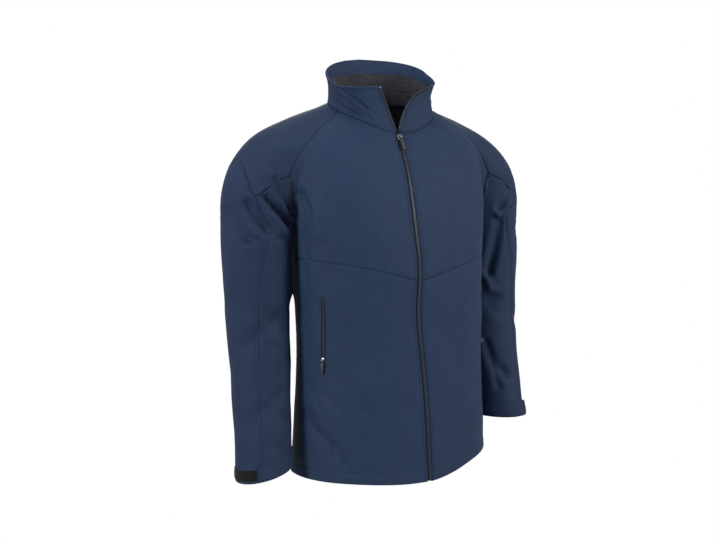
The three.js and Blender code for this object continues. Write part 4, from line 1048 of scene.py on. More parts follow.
    frontLower = {
        "nodes": [f"front_lower_{name}"], "cloth": "body", "part": "torso", "spacing": 4.5,
        "sewn": ["top", "left", "right"], "hems": ["bottom"], "seed": 5.2 + side, "drift": 0.9,
        "flat": (0.32, 0.42), "area": 0.123,
        "stitches": [("left", 6), ("bottom", 20)],
    }
    lowerEdges = (chestRun, smoothLine(hemRun), lowerEdge, lowerSide)
    sewPanel(f"frontLower_{name}", lowerEdges, settleOnTorso, frontLower)

backPanel = {
    "nodes": ["back_panel"], "cloth": "body", "part": "torso", "spacing": 4.5,
    "sewn": ["top", "left", "right"], "hems": ["bottom"], "seed": 7.1, "drift": 0.9,
    "flat": (0.54, 0.76), "area": 0.325,
    "stitches": [("left", 2.5), ("right", 2.5), ("bottom", 20)],
}
backNeck = smoothLine(neckPoints(-1, np.linspace(neck["back"], 360 - neck["back"], 15)))
backSides = [joined(seams[n]["backLine"], seams[n]["sideLine"]) for n in ("right", "left")]
hemAngles = np.linspace(-chest["hemTurns"][1], chest["hemTurns"][1] - 360, 15)
wrapped = np.where(hemAngles < -180, hemAngles + 360, hemAngles)
backHem = torsoTurn(hemAngles, hemLine(wrapped)[:, 0])
backHem[0], backHem[-1] = backSides[0][-1], backSides[1][-1]
sewPanel("backPanel", (backNeck, smoothLine(backHem), *backSides), settleOnTorso, backPanel)
print("panels sewn")


def onPanel(node, u, v, lift=0.0):
    # Places on a finished panel, by parts of its width and height, at a height over the cloth
    panel = panels[node]
    u, v = np.broadcast_arrays(np.asarray(u, float), np.asarray(v, float))
    j = np.clip(np.searchsorted(panel["u"], u) - 1, 0, len(panel["u"]) - 2)
    i = np.clip(np.searchsorted(panel["v"], v) - 1, 0, len(panel["v"]) - 2)
    a = ((u - panel["u"][j]) / (panel["u"][j + 1] - panel["u"][j]))[..., None]
    b = ((v - panel["v"][i]) / (panel["v"][i + 1] - panel["v"][i]))[..., None]

    def mix(values):
        top = values[i, j] * (1 - a) + values[i, j + 1] * a
        bottom = values[i + 1, j] * (1 - a) + values[i + 1, j + 1] * a
        return top * (1 - b) + bottom * b

    normals = unit(mix(panel["normals"]))
    return mix(panel["cloth"]) + normals * np.asarray(lift)[..., None], normals


def heightOnPanel(node, u, height):
    # The part of the panel's height that is so far above its lower edge, at each part of its width
    panel = panels[node]
    reached = edgeDistances(panel["cloth"])["bottom"]
    columns = np.interp(u, panel["u"], np.arange(len(panel["u"])))
    return np.array([np.interp(-h, -reached[:, int(round(column))], panel["v"])
                     for column, h in zip(columns, height)])


# Collar: its outside turns over the top edge and down inside as the facing, over a fleece lining
collarRim = {
    # angle from the front, x, y, height
    "right": makeCurve([
        [0, -48, -82, 18], [40, -90, -74, 15], [60, -108, -58, 16], [75, -116, -37, 20],
        [90, -116, -8, 31], [115, -104, 32, 48], [140, -76, 64, 64], [160, -40, 81, 74], [180, 0, 86, 79]]),
    "left": makeCurve([
        [0, 80, -70, 20], [40, 96, -54, 28], [60, 102, -36, 37], [75, 105, -14, 46],
        [90, 104, 8, 57], [115, 95, 42, 68], [140, 71, 68, 75], [160, 38, 82, 78], [180, 0, 86, 79]]),
}
collar = {
    "flop": (-18, -10, 12),
    "flopAngle": 55,
    "bulge": 4,
    "spacing": 3.2,
    "height": 85,              # mm, for laying out rows
    "perDegree": 1.75,         # mm round the collar
    "edgeRadius": 1.6,
    "edgeTurns": (30, 60, 90, 120, 150),
    "allowance": (4.5, 1.2),   # past the neck seam, and in from it
    "fade": 7,                 # creases fade out this near to the seam and the front edges
    "facingDepth": 3.2,
    "facingTo": 0.68,
    "liningTo": 0.72,
    "liningLift": -3.1,
    "liningWall": 1.0,
    "wall": 1.2,
    "stitches": 6.0,
    "drift": 0.7,
    # angle and part of the height at both ends (less than 0 on the wearer's right), width, depth
    "creases": [
        (-72, 0.9, -30, 0.42, 5, 2.6), (-64, 0.68, -24, 0.24, 4, -1.5), (-86, 0.3, -40, 0.1, 6, 3.0),
        (-104, 0.8, -92, 0.2, 6, 1.6), (-132, 0.9, -140, 0.2, 7, 1.4), (44, 0.2, 66, 0.34, 5, 3.2),
        (30, 0.85, 62, 0.5, 7, 1.2), (96, 0.9, 108, 0.25, 6, 1.6), (138, 0.85, 128, 0.2, 7, 1.2),
        (-176, 0.9, 178, 0.3, 8, 1.0), (160, 0.8, 152, 0.15, 6, 1.0)],
    "nodes": ["collar", "collar_facing"],
    "slot": "body_cloth",
    "flat": (0.58, 0.125),
    "area": 0.07,
}
neckRun = joined(seams["right"]["frontNeckLine"], seams["right"]["neckLine"], backNeck,
                 seams["left"]["neckLine"][::-1], seams["left"]["frontNeckLine"][::-1])
# Angles round the collar, from the wearer's right front edge, 0, by the back, 180, to the left one, 360
turnStops = [0, neck["front"], neck["back"], 360 - neck["back"], 360 - neck["front"], 360]
turnCounts = [len(seams["right"]["frontNeckLine"]), len(seams["right"]["neckLine"]), len(backNeck),
              len(seams["left"]["neckLine"]), len(seams["left"]["frontNeckLine"])]
neckTurns = np.concatenate(
    [np.linspace(a, b, n)[:-1] for a, b, n in zip(turnStops, turnStops[1:], turnCounts)] + [[360]])
neckReached = reachedAlong(neckRun)


def collarPlaces(at, t):
    # at: mm along the neck seam from the right front edge. t: from the seam, 0, to the top edge, 1
    at, t = np.broadcast_arrays(np.asarray(at, float), np.asarray(t, float))
    base = np.stack([np.interp(at, neckReached, neckRun[:, k]) for k in range(3)], axis=-1)
    turn = np.interp(at, neckReached, neckTurns)
    onLeft = turn > 180
    angle = np.where(onLeft, 360 - turn, turn)
    rims = {side: collarRim[side](angle.ravel()).reshape(base.shape) for side in collarRim}
    rim = np.where(onLeft[..., None], rims["left"], rims["right"])
    away = (base - [0, neck["y"], 0]) * [1, 1, 0]
    bow = (4 * t * (1 - t))[..., None]
    place = base + (rim - base) * t[..., None] - unit(away) * collar["bulge"] * bow
    flop = bow * np.where(onLeft, easeStep(1 - angle / collar["flopAngle"]), 0)[..., None]
    return place + flop * np.array(collar["flop"])


def collarFrames(at, t):
    at, t = np.broadcast_arrays(np.asarray(at, float), np.asarray(t, float))
    place = collarPlaces(at, t)
    up = collarPlaces(at, t + 0.01) - collarPlaces(at, t - 0.01)
    along = collarPlaces(np.minimum(at + 1.5, neckReached[-1]), t) - collarPlaces(np.maximum(at - 1.5, 0), t)
    return place, unit(np.cross(up, along)), unit(up)


def collarRelief(at, t):
    turn = np.interp(at, neckReached, neckTurns)
    x = turn * collar["perDegree"]
    y = t * collar["height"]
    total = collar["drift"] * np.sin(x / 23 + 1.3 * np.sin(y / 21)) * np.sin(y / 27 + x / 61)
    for turnA, tA, turnB, tB, width, depth in collar["creases"]:
        # The wearer's right is given with a minus sign
        turnA, turnB = [-v if v < 0 else 360 - v for v in (turnA, turnB)]
        start = np.array([turnA * collar["perDegree"], tA * collar["height"]])
        line = np.array([turnB * collar["perDegree"], tB * collar["height"]]) - start
        along = np.clip(((x - start[0]) * line[0] + (y - start[1]) * line[1]) / (line @ line), 0, 1)
        off = np.hypot(x - start[0] - along * line[0], y - start[1] - along * line[1]) / width
        total -= depth * creaseProfile(off)
    return total


runLength = neckReached[-1]
atColumns = fineSteps(runLength, collar["spacing"]) * runLength
rows = fineSteps(collar["height"], collar["spacing"])
at, t = np.meshgrid(atColumns, rows)
place, normals, up = collarFrames(at, t)
fromEdge = np.minimum(at, runLength - at)
fromSeam = t * collar["height"]
fromTop = (1 - t) * collar["height"]
soft = collarRelief(at, t) * (1 - bell(np.minimum(fromEdge, fromSeam), collar["fade"]))
dents = sewing["sink"] * bell(fromSeam, sewing["sinkWidth"]) + sewing["stitchSink"] * (
    bell(fromTop - collar["stitches"], sewing["stitchWidth"])
    + bell(fromEdge - collar["stitches"], sewing["stitchWidth"]))
outside = place + normals * (soft - dents)[..., None]
rimPlace, rimNormals, rimUp = place[-1], normals[-1], up[-1]
rolled = [rimPlace + rimNormals * (soft[-1][:, None] + collar["edgeRadius"] * (math.cos(a) - 1))
          + rimUp * collar["edgeRadius"] * math.sin(a) for a in np.radians(collar["edgeTurns"])]
insideRows = np.concatenate(
    [[1, 0.985, 0.97], np.linspace(0.94, collar["facingTo"] + 0.02, 6), [collar["facingTo"]]])
atIn, tIn = np.meshgrid(atColumns, insideRows)
placeIn, normalsIn, _ = collarFrames(atIn, tIn)
softIn = collarRelief(atIn, tIn) * (1 - bell(np.minimum(atIn, runLength - atIn), collar["fade"]))
facingRise = 0.5 * bell((tIn - collar["facingTo"]) * collar["height"], sewing["hemEdge"])
inside = placeIn + normalsIn * (softIn - collar["facingDepth"] + facingRise)[..., None]
under, inward = collar["allowance"]
allowance = outside[:1] - up[:1] * under - normals[:1] * inward
shell = np.concatenate([allowance, outside, np.array(rolled), inside])
rolledNormals = np.repeat(rimNormals[None], len(rolled), axis=0)
shellNormals = np.concatenate([normals[:1], normals, rolledNormals, -normalsIn])
collarShell = makeMesh("collarShell", [faceOut(shell, shellNormals)], [bodyCloth], collar["wall"])
declareCloth(collarShell, collar)
print(f"collar: {gridArea(shell):.4f} square metres of cloth")
for edge in ("bottom", "left", "right"):
    addStitches("collar", *besideEdge(outside, normals, edge, collar["stitches"]), 3)
addStitches("collar", *besideEdge(inside, -normalsIn, "bottom", 2), 3)

liningRows = np.concatenate([[0, 0.01, 0.03], np.linspace(0.06, collar["liningTo"], 20)])
atLine, tLine = np.meshgrid(atColumns, liningRows)
placeLine, normalsLine, _ = collarFrames(atLine, tLine)
softLine = collarRelief(atLine, tLine) + 0.6 * np.sin(atLine / 17 + 2 * np.sin(tLine * 5)) * np.sin(tLine * 9)
softLine *= 1 - bell(np.minimum(atLine, runLength - atLine), collar["fade"])
liningGrid = placeLine + normalsLine * (softLine + collar["liningLift"])[..., None]
liningSpec = {"nodes": ["collar_lining"], "slot": "fleece", "flat": (0.56, 0.065), "area": 0.034}
lining = makeMesh("collarLining", [faceOut(liningGrid, -normalsLine)], [fleeceCloth], collar["liningWall"])
declareCloth(lining, liningSpec)
print(f"collar lining: {gridArea(liningGrid):.4f} square metres of cloth")


# Front zip
frontZip = {
    "sliderZ": -80.0,
    "topZ": -87.0,
    "bottomZ": -735.0,
    "pitch": 2.8,              # mm from one tooth to the next on the same side
    # a tooth's outline from above: across from the closed line, and along the zip
    "tooth": [(-3.9, -0.6), (-0.3, -0.6), (0.1, -0.78), (0.7, -0.45), (0.7, 0.45), (0.1, 0.78), (-0.3, 0.6),
              (-3.9, 0.6)],
    "heights": (-1.4, 0.45, 1.05),
    "chamfer": 0.6,
    "collarShift": 4.3,        # from the collar's edge to the closed line
    "tapeTop": -77,
    "tapeRows": 166,
    "collarRows": 26,
    "tapeLift": -2.0,
    "tapeWall": 0.7,
    "flapLift": -3.1,
    "flapWall": 1.1,
}


def zipFrames(z):
    z = np.atleast_1d(np.asarray(z, float))
    p = fromFrontView(zipLine(z)[:, 0], z, -1)
    down = unit(fromFrontView(zipLine(z - 4)[:, 0], z - 4, -1) - p)
    n = outward(p, None, 6.0)
    n = unit(n - down * (n * down).sum(axis=1, keepdims=True))
    return p, n, down, np.cross(n, down)


def teethMesh(name, rows, spec):
    # rows: places, normals, down, and the way across that each row's heads point
    outline, heights = spec["tooth"], spec["heights"]
    rings = []
    for height, size in zip(heights, (1, 1, spec["chamfer"])):
        middle = np.mean(outline, axis=0)
        for across, along in outline:
            a = middle[0] + (across - middle[0]) * size
            d = middle[1] + (along - middle[1]) * size
            rings.append(np.vstack([p + side * a + down * d + n * height for p, n, down, side in rows]))
    verts = np.stack(rings, axis=1)
    count, sides = len(verts), len(outline)
    one = bands(3, sides) + [list(range(2 * sides, 3 * sides)), list(range(sides))[::-1]]
    mirrored = [face[::-1] for face in one]
    handed = np.concatenate([np.sign((np.cross(side, down) * n).sum(axis=1)) for p, n, down, side in rows])
    faces = [[v + i * 3 * sides for v in face]
             for i in range(count) for face in (one if handed[i] > 0 else mirrored)]
    obj = meshFrom(name, verts.reshape(-1, 3) * 0.001, faces, [toothPlastic])
    obj.data.polygons.foreach_set("use_smooth", [False] * len(obj.data.polygons))
    return obj


dense = np.linspace(frontZip["topZ"], frontZip["bottomZ"], 400)
reached = reachedAlong(zipFrames(dense)[0])
chainRows = []
for sign, offset in ((1, 0.5), (-1, 1.0)):
    z = np.interp(np.arange(offset * frontZip["pitch"], reached[-1], frontZip["pitch"]), reached, dense)
    p, n, down, across = zipFrames(z)
    chainRows.append((p, n, down, across * sign))
declareHard(teethMesh("zipTeeth", chainRows, frontZip), "zip_chain")

for name, at in (("right", 0.0), ("left", runLength)):
    sign = 1 if name == "right" else -1
    count = int(0.93 * np.linalg.norm(collarPlaces(at, 0.98) - collarPlaces(at, 0.05)) / frontZip["pitch"])
    t = np.linspace(0.97, 0.05, count)
    p, n, upward = collarFrames(np.full(count, at), t)
    down = -upward
    n = n - down * (n * down).sum(axis=1, keepdims=True)
    across = np.cross(n, down) * sign
    p = p + across * frontZip["collarShift"]
    row = teethMesh(f"collarTeeth_{name}", [(p, n, down, across)], frontZip)
    declareHard(row, f"collar_chain_{name}")

zipZ = np.linspace(frontZip["tapeTop"], frontZip["bottomZ"], frontZip["tapeRows"])
zipX = zipLine(zipZ)[:, 0]


def strip(low, high, lift, count):
    x = zipX[:, None] + np.linspace(low, high, count)[None]
    z = np.broadcast_to(zipZ[:, None], x.shape)
    p = fromFrontView(x.ravel(), z.ravel(), -1)
    n = outward(p)
    return (p + n * lift).reshape(*x.shape, 3), n.reshape(*x.shape, 3)


def collarStrip(name, low, high, lift, count):
    # Beside the collar's front edge, from a distance beyond it to one under the cloth
    at = 0.0 if name == "right" else runLength
    sign = 1 if name == "right" else -1
    grid, gridNormals = [], []
    t = np.linspace(0.97, -0.02, frontZip["collarRows"])
    edge, n, upward = collarFrames(np.full(len(t), at), t)
    beyond = np.cross(n, -upward) * sign
    for d in np.linspace(low, high, count):
        if d < 0:
            p, m = edge - beyond * d, n
        else:
            p, m, _ = collarFrames(np.full(len(t), at + sign * d), t)
        grid.append(p + m * lift)
        gridNormals.append(m)
    return np.stack(grid, axis=1), np.stack(gridNormals, axis=1)


for name, side in (("right", -1), ("left", 1)):
    runs = [strip(side * 0.3, side * 17, frontZip["tapeLift"], 9), collarStrip(name, -4.0, 10, -1.9, 7)]
    layCloth(f"zipTape_{name}", runs, tapeCloth, frontZip["tapeWall"],
             {"nodes": [f"zip_tape_{name}"], "slot": "zip_tape", "flat": (0.017, 0.75)})
runs = [strip(-21, 14, frontZip["flapLift"], 12), collarStrip("right", -7, 14, -4.6, 8)]
layCloth("windFlap", runs, tapeCloth, frontZip["flapWall"],
         {"nodes": ["wind_flap"], "slot": "zip_tape", "flat": (0.035, 0.76)})
print("zip closed")


# Pockets: a welt over a fine zip
pocket = {
    "welt": ((5.8, 6.4), (2, 6)),        # columns and rows of the lower front, as in the part
    "zip": ((5.64, 5.78), (2, 5.6)),
    "weltSize": (16, 118),
    "weltLift": 1.5,
    "weltEdge": 1.4,
    "weltWall": 1.0,
    "tapeWall": 0.2,
    "weltStitch": 3.2,
    "zipRows": 70,
    "pitch": 1.5,
    "tooth": [(-1.1, -0.45), (0.8, -0.45), (1.1, -0.2), (1.1, 0.2), (0.8, 0.45), (-1.1, 0.45)],
    "heights": (0.1, 0.75, 1.0),
    "chamfer": 0.6,
    "slider": (5.71, 5.78),
}


def cushioned(count, length, edge):
    # Parts from 0 to 1 with a rounded edge, and the edge's height
    steps = np.concatenate([[0, 0.25, 0.6, 1.1, 1.8], np.linspace(3.4, length - 3.4, max(count, 2)),
                            length - np.array([1.8, 1.1, 0.6, 0.25, 0])])
    near = np.clip(np.minimum(steps, length - steps) / edge, 0, 1)
    return steps / length, np.sqrt(1 - (1 - near) ** 2)


for name in ("right", "left"):
    node = f"front_lower_{name}"
    (firstColumn, lastColumn), (firstRow, lastRow) = pocket["welt"]
    wide, long = pocket["weltSize"]
    partU, crownU = cushioned(5, wide, pocket["weltEdge"])
    partV, crownV = cushioned(34, long, pocket["weltEdge"])
    u = (firstColumn + (lastColumn - firstColumn) * partU) / chest["columns"]
    v = (firstRow + (lastRow - firstRow) * partV) / chest["lowerSteps"]
    lift = pocket["weltLift"] * crownU[None] * crownV[:, None]
    dent = 0.3 * (bell(partU * wide - 3, 0.8) + bell(partU * wide - (wide - 3), 0.8))
    grid, gridNormals = onPanel(node, u[None], v[:, None], lift - dent[None])
    layCloth(f"pocketWelt_{name}", [(grid, gridNormals)], bodyCloth, pocket["weltWall"],
             {"nodes": [f"pocket_welt_{name}"], "slot": "body_cloth", "flat": (0.027, 0.15)})
    for edge in ("left", "right"):
        addStitches("body", *besideEdge(grid, gridNormals, edge, pocket["weltStitch"]), 4)
    (firstColumn, lastColumn), (firstRow, lastRow) = pocket["zip"]
    v = np.linspace(firstRow, lastRow, pocket["zipRows"]) / chest["lowerSteps"]
    p, n = onPanel(node, 0.5 * (firstColumn + lastColumn) / chest["columns"], v)
    down = unit(np.gradient(p, axis=0))
    across = np.cross(n, down)
    teeth = teethMesh(f"pocketTeeth_{name}", [(p, n, down, across)], pocket)
    declareHard(teeth, f"pocket_zip_{name}")
    tapeU = (firstColumn + (lastColumn - firstColumn) * np.linspace(-0.3, 1.1, 6)) / chest["columns"]
    band = onPanel(node, tapeU[None], v[:, None], np.full((len(v), len(tapeU)), 0.25))
    layCloth(f"pocketTape_{name}", [band], tapeCloth, pocket["tapeWall"],
             {"nodes": [], "slot": "zip_tape", "flat": (0.01, 0.14)})
print("pockets made")


# Cuffs: a loop strip, and a tab that closes over the front seam
cuff = {
    "stripColumns": (0.7, 4.3), "stripHeights": (26, 5), "stripLift": 1.2, "stripSize": (60, 21),
    "stripWall": 0.8,
    "tabHeights": (34, 1), "tabStart": 0.45, "tabColumns": 11, "tabLift": 2.0, "tabWall": 1.5, "corner": 7,
    "tabLength": 150, "edge": 1.1, "stitch": 3.5,
    "flare": {"right": 4, "left": 9}, "flareReach": 5,
    "outerColumns": 8, "underColumns": 15,
}
for name in ("right", "left"):
    outerNode, underNode = f"outer_sleeve_{name}", f"under_sleeve_{name}"
    partU, crownU = cushioned(20, cuff["stripSize"][0], cuff["edge"])
    partV, crownV = cushioned(5, cuff["stripSize"][1], cuff["edge"])
    firstColumn, lastColumn = cuff["stripColumns"]
    u = (firstColumn + (lastColumn - firstColumn) * partU) / cuff["outerColumns"]
    high, low = cuff["stripHeights"]
    v = np.stack([heightOnPanel(outerNode, u, np.full(len(u), high + (low - high) * b)) for b in partV])
    loopRun = onPanel(outerNode, u[None], v, cuff["stripLift"] * crownU[None] * crownV[:, None])
    layCloth(f"loopStrip_{name}", [loopRun], loopCloth, cuff["stripWall"],
             {"nodes": [f"cuff_strip_{name}"], "slot": "loop_strip", "flat": (0.026, 0.085)})

    steps = np.concatenate([[0, 0.4, 1, 2, 3.2, 4.6], np.linspace(6.5, cuff["tabLength"], 44)])
    columns = -cuff["tabStart"] + (cuff["tabColumns"] + cuff["tabStart"]) * steps / cuff["tabLength"]
    high, low = cuff["tabHeights"]
    r = cuff["corner"]
    bite = r - np.sqrt(np.maximum(r * r - np.maximum(r - steps, 0) ** 2, 0))
    partV, _ = cushioned(7, high - low, 1.2)
    rowPlaces, rowNormals = [], []
    onOuter = columns < 0
    for b in partV:
        h = high - bite + (low + 2 * bite - high) * b
        grid = np.zeros((len(columns), 3))
        gridNormals = np.zeros((len(columns), 3))
        for node, here, u in ((outerNode, onOuter, -columns / cuff["outerColumns"]),
                              (underNode, ~onOuter, columns / cuff["underColumns"])):
            grid[here], gridNormals[here] = onPanel(node, u[here], heightOnPanel(node, u[here], h[here]))
        rowPlaces.append(grid)
        rowNormals.append(gridNormals)
    grid, gridNormals = np.array(rowPlaces), np.array(rowNormals)
    beside = np.roll(gridNormals, 1, axis=1) + np.roll(gridNormals, -1, axis=1)
    gridNormals = 0.25 * beside + 0.5 * gridNormals
    gridNormals[:, 0], gridNormals[:, -1] = np.array(rowNormals)[:, 0], np.array(rowNormals)[:, -1]
    gridNormals = unit(gridNormals)
    opening = np.maximum(1 - (columns + 1) / cuff["flareReach"], 0) ** 2 * cuff["flare"][name]
    grid = grid + gridNormals * (cuff["tabLift"] + opening)[None, :, None]
    layCloth(f"cuffTab_{name}", [(grid, gridNormals)], sleeveCloth, cuff["tabWall"],
             {"nodes": [f"cuff_tab_{name}"], "slot": "sleeve_cloth", "flat": (0.042, 0.2)})
    for edge in ("top", "bottom", "left"):
        addStitches("sleeve", *besideEdge(grid, gridNormals, edge, cuff["stitch"]), 4)
print("cuffs made")


# Sliders and pull tabs. Each is drawn flat, x across and y up from the pin, then set on the cloth.
mainSlider = {
    "outline": [(4.4, 6.5), (5.6, 5.3), (5.5, 1.5), (4.6, -5.2), (3.6, -6.5)],       # its right half
    "stem": [(2.6, 6.3), (4.2, 4.5), (4.2, -6.3)],
    "lift": 1.5, "back": -1.5, "tab": (7.2, 28), "neck": 5.4,
}
pocketSlider = {
    "outline": [(2.6, 4.5), (3.5, 3.6), (3.4, 0.8), (2.9, -3.6), (2.2, -4.5)],
    "stem": [(1.2, 4.3), (1.7, 3), (1.7, -4.3)],
    "lift": 2.2, "back": 0.4, "tab": (6.0, 26), "neck": 4.8,
}
slider = {"wall": 1.8, "running": 0.5, "pin": 0.9, "bridgeHalf": 1.3, "bridgeWall": 1.2, "sink": 0.5,
          "eyeHalf": 1.9, "eyeLength": 5.0, "bevel": 0.25, "pullBevel": 0.22, "ribs": 5, "ribPitch": 2.1,
          "ribRise": 0.32}


def bothHalves(half):
    return half + [(-x, y) for x, y in half[::-1]]


def prism(outline, low, high):
    count = len(outline)
    verts = [(x, y, z) for z in (low, high) for x, y in outline]
    return verts, bands(2, count) + [list(range(count))[::-1], list(range(count, 2 * count))]


def ringPrism(outer, inner, low, high):
    count = len(outer)
    verts = [(x, y, z) for z in (low, high) for loop in (outer, inner) for x, y in loop]
    faces = []
    for k in range(count):
        m = (k + 1) % count
        faces.append([k, m, 2 * count + m, 2 * count + k])
        faces.append([count + m, count + k, 3 * count + k, 3 * count + m])
        faces.append([2 * count + k, 2 * count + m, 3 * count + m, 3 * count + k])
        faces.append([m, k, count + k, count + m])
    return verts, faces


def setOnCloth(name, shapes, seat, material, bevel):
    p, n, down, across = seat
    verts, faces = [], []
    for shapeVerts, shapeFaces in shapes:
        faces += [[v + len(verts) for v in face] for face in shapeFaces]
        verts += shapeVerts
    verts = np.array(verts, float)
    verts = p + verts[:, :1] * across + verts[:, 1:2] * -down + verts[:, 2:] * n
    obj = meshFrom(name, verts * 0.001, faces, [material])
    edge = obj.modifiers.new("edge", "BEVEL")
    edge.width = bevel * 0.001
    edge.segments = 2
    edge.limit_method = "ANGLE"
    edge.angle_limit = math.radians(40)
    return obj


def roundedLoop(width, topWidth, length, count):
    # A tab's outline, wider and rounder at its lower end, from the pin's end round to the same place
    half, top = width / 2, topWidth / 2
    loop = []
    for k in range(count):
        turn = 2 * math.pi * k / count
        x, y = math.sin(turn), math.cos(turn)
        square = max(abs(x), abs(y))
        x, y = x / square, y / square
        corner = 1 - 0.16 * (abs(x) * abs(y)) ** 4
        along = (1 - y) / 2
        side = top + (half - top) * min(along * 1.6, 1)
        loop.append((x * corner * side, (y * corner - 1) * length / 2))
    return loop


def makeSlider(name, node, spec, seat):
    top = spec["lift"] + slider["wall"]
    pin = top + slider["running"] + slider["pin"]
    roofHeight = pin + slider["pin"] + slider["running"]
    reach = slider["pin"] + slider["running"] + slider["bridgeWall"]
    inner = reach - slider["bridgeWall"]
    foot, ridge = top - slider["sink"], roofHeight + slider["bridgeWall"]
    arch = [(-reach, foot), (-reach, roofHeight), (-inner, ridge), (inner, ridge), (reach, roofHeight),
            (reach, foot), (inner, foot), (inner, roofHeight), (-inner, roofHeight), (-inner, foot)]
    half = slider["bridgeHalf"]
    count = len(arch)
    verts = [(x, y, z) for x in (-half, half) for y, z in arch]
    faces = [face[::-1] for face in bands(2, count)]
    legs = [[0, 1, 8, 9], [1, 2, 8], [2, 3, 7, 8], [3, 4, 7], [4, 5, 6, 7]]
    faces += legs + [[v + count for v in leg[::-1]] for leg in legs]
    shapes = [prism(bothHalves(spec["stem"]), spec["back"], spec["lift"] + 0.2),
              prism(bothHalves(spec["outline"]), spec["lift"], top), (verts, faces)]
    declareHard(setOnCloth(name, shapes, seat, sliderMetal, slider["bevel"]), node)
    return pin


def makePull(name, node, body, spec, seat, pin):
    width, length = spec["tab"]
    thick = slider["pin"]
    eyeHalf, eyeLength = slider["eyeHalf"], slider["eyeLength"]
    count = 32
    outer = roundedLoop(width, spec["neck"] + 1.2, length, count)
    eye = []
    for k in range(count):
        turn = 2 * math.pi * k / count
        x, y = math.sin(turn), math.cos(turn)
        square = max(abs(x), abs(y)) ** 0.6
        eye.append((x / square * eyeHalf * 0.86, -0.61 * eyeLength + y / square * eyeLength * 0.43))
    shapes = [ringPrism(outer[::-1], eye[::-1], -thick, thick)]
    grip = [(-0.36 * width, 0.42), (0.36 * width, 0.42), (0.36 * width, -0.42), (-0.36 * width, -0.42)]
    for k in range(slider["ribs"]):
        y = -length * 0.52 - k * slider["ribPitch"]
        rib = [(x, y + d) for x, d in grip][::-1]
        shapes.append(prism(rib, thick - 0.1, thick + slider["ribRise"]))
        shapes.append(prism(rib, -thick - slider["ribRise"], -thick + 0.1))
    shapes = [([(x, y, z + pin) for x, y, z in verts], faces) for verts, faces in shapes]
    # The bar round the pin runs across, so its prism is turned
    turns = np.linspace(0, 2 * math.pi, 17)[:-1]
    bar = [(slider["pin"] * math.cos(a), pin + slider["pin"] * math.sin(a)) for a in turns]
    verts, faces = prism(bar, 0.4 - width / 2, width / 2 - 0.4)
    shapes.append(([(z, x, y) for x, y, z in verts], faces))
    declareHard(setOnCloth(name, shapes, seat, pullRubber, slider["pullBevel"]), node, body)


frontSeat = [value[0] for value in zipFrames(frontZip["sliderZ"])]
pin = makeSlider("frontSlider", "zip_slider", mainSlider, frontSeat)
makePull("frontPull", "zip_pull", "front_pull", mainSlider, frontSeat, pin)
for name in ("right", "left"):
    panel = panels[f"front_lower_{name}"]
    column, row = pocket["slider"]
    j, i = int(column), int(row)
    u = np.array([j, j + 1]) / chest["columns"]
    v = np.array([i, i + 1]) / chest["lowerSteps"]
    corners = coonsGrid(panel["edges"], u, v, panel["settle"])
    cornerNormals = outward(corners.reshape(-1, 3), None, 6.0).reshape(2, 2, 3)

    def blend(values, a, b):
        low, high = values[:, 0] * (1 - a) + values[:, 1] * a
        return low * (1 - b) + high * b

    a, b = column - j, row - i
    n = unit(blend(cornerNormals, a, b))
    down = blend(corners, a, b + 0.1) - blend(corners, a, b - 0.1)
    down = unit(down - n * (down @ n))
    seat = [blend(corners, a, b), n, down, np.cross(n, down)]
    pin = makeSlider(f"pocketSlider_{name}", f"pocket_slider_{name}", pocketSlider, seat)
    makePull(f"pocketPull_{name}", f"pocket_pull_{name}", f"pocket_pull_{name}_body", pocketSlider, seat, pin)
print("sliders and pulls made")

sewThreads("bodyThread", "body")
sewThreads("sleeveThread", "sleeve")
sewThreads("collarThread", "collar")


def standAt(obj, axes, position):
    obj.matrix_world = Matrix([[*row, p] for row, p in zip(axes, position)] + [[0, 0, 0, 1]])
    bpy.context.collection.objects.link(obj)


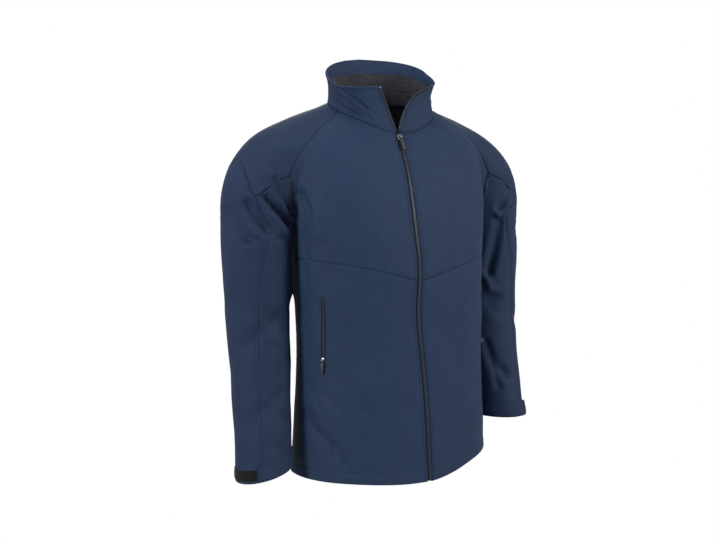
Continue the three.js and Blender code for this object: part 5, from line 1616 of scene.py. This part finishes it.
# Camera at the photograph's place
turn = math.radians(stage["turn"])
ahead = np.array([-math.sin(turn), math.cos(turn), 0.0])
place = np.array(stage["aim"]) - ahead * stage["distance"]
sideways = np.array([math.cos(turn), math.sin(turn), 0.0])
width, height = stage["photoSize"]
pitch = math.atan((height / 2 - stage["horizon"]) / stage["focal"])
yaw = math.atan((stage["aimPixel"] - width / 2) / stage["focal"] * math.cos(pitch))
level = ahead * math.cos(yaw) - sideways * math.sin(yaw)
right = sideways * math.cos(yaw) + ahead * math.sin(yaw)
forward = level * math.cos(pitch) - np.array([0, 0, 1.0]) * math.sin(pitch)
up = np.cross(right, forward)
cameraData = bpy.data.cameras.new("photoCamera")
cameraData.sensor_width = stage["sensor"]
cameraData.lens = stage["focal"] * stage["sensor"] / width
cameraData.clip_end = 100
camera = bpy.data.objects.new("photoCamera", cameraData)
standAt(camera, np.stack([right, up, -forward], axis=1), place * 0.001)
bpy.context.scene.camera = camera

# Pale room: pure white to the camera, as the cut-out photograph is, and a softer light on the cloth
world = bpy.data.worlds.new("paleRoom")
world.use_nodes = True
background = world.node_tree.nodes["Background"]
background.inputs["Color"].default_value = toLinear(stage["worldColour"])
seen = addNode(world.node_tree, "ShaderNodeLightPath").outputs["Is Camera Ray"]
strength = addNode(world.node_tree, "ShaderNodeMath", {"operation": "MULTIPLY_ADD"},
                   {0: seen, 1: stage["seenWhite"] - stage["ambient"], 2: stage["ambient"]})
world.node_tree.links.new(strength.outputs[0], background.inputs["Strength"])
bpy.context.scene.world = world
bpy.context.scene.view_settings.view_transform = "Standard"

# Four soft boxes, in metres and watts
lights = {
    "keyBox": {"place": (1.9, -2.4, 0.7), "target": (0, 0, -0.4), "size": (0.9, 1.4), "power": 105},
    "sideBox": {"place": (-2.9, -0.7, 0.5), "target": (0, 0, -0.4), "size": (0.7, 1.6), "power": 95},
    "topBox": {"place": (-0.4, 0.2, 2.4), "target": (0, 0, -0.2), "size": (1.4, 1.0), "power": 30},
    "backBox": {"place": (1.4, 2.8, 1.0), "target": (0, 0, -0.3), "size": (1.4, 1.6), "power": 60},
}
for name, spec in lights.items():
    light = bpy.data.lights.new(name, "AREA")
    light.shape = "RECTANGLE"
    light.size, light.size_y = spec["size"]
    light.energy = spec["power"]
    away = unit(np.array(spec["place"], float) - np.array(spec["target"], float))
    across = unit(np.cross([0, 0, 1.0], away))
    axes = np.stack([across, np.cross(away, across), away], axis=1)
    standAt(bpy.data.objects.new(name, light), axes, spec["place"])
print("stage set")
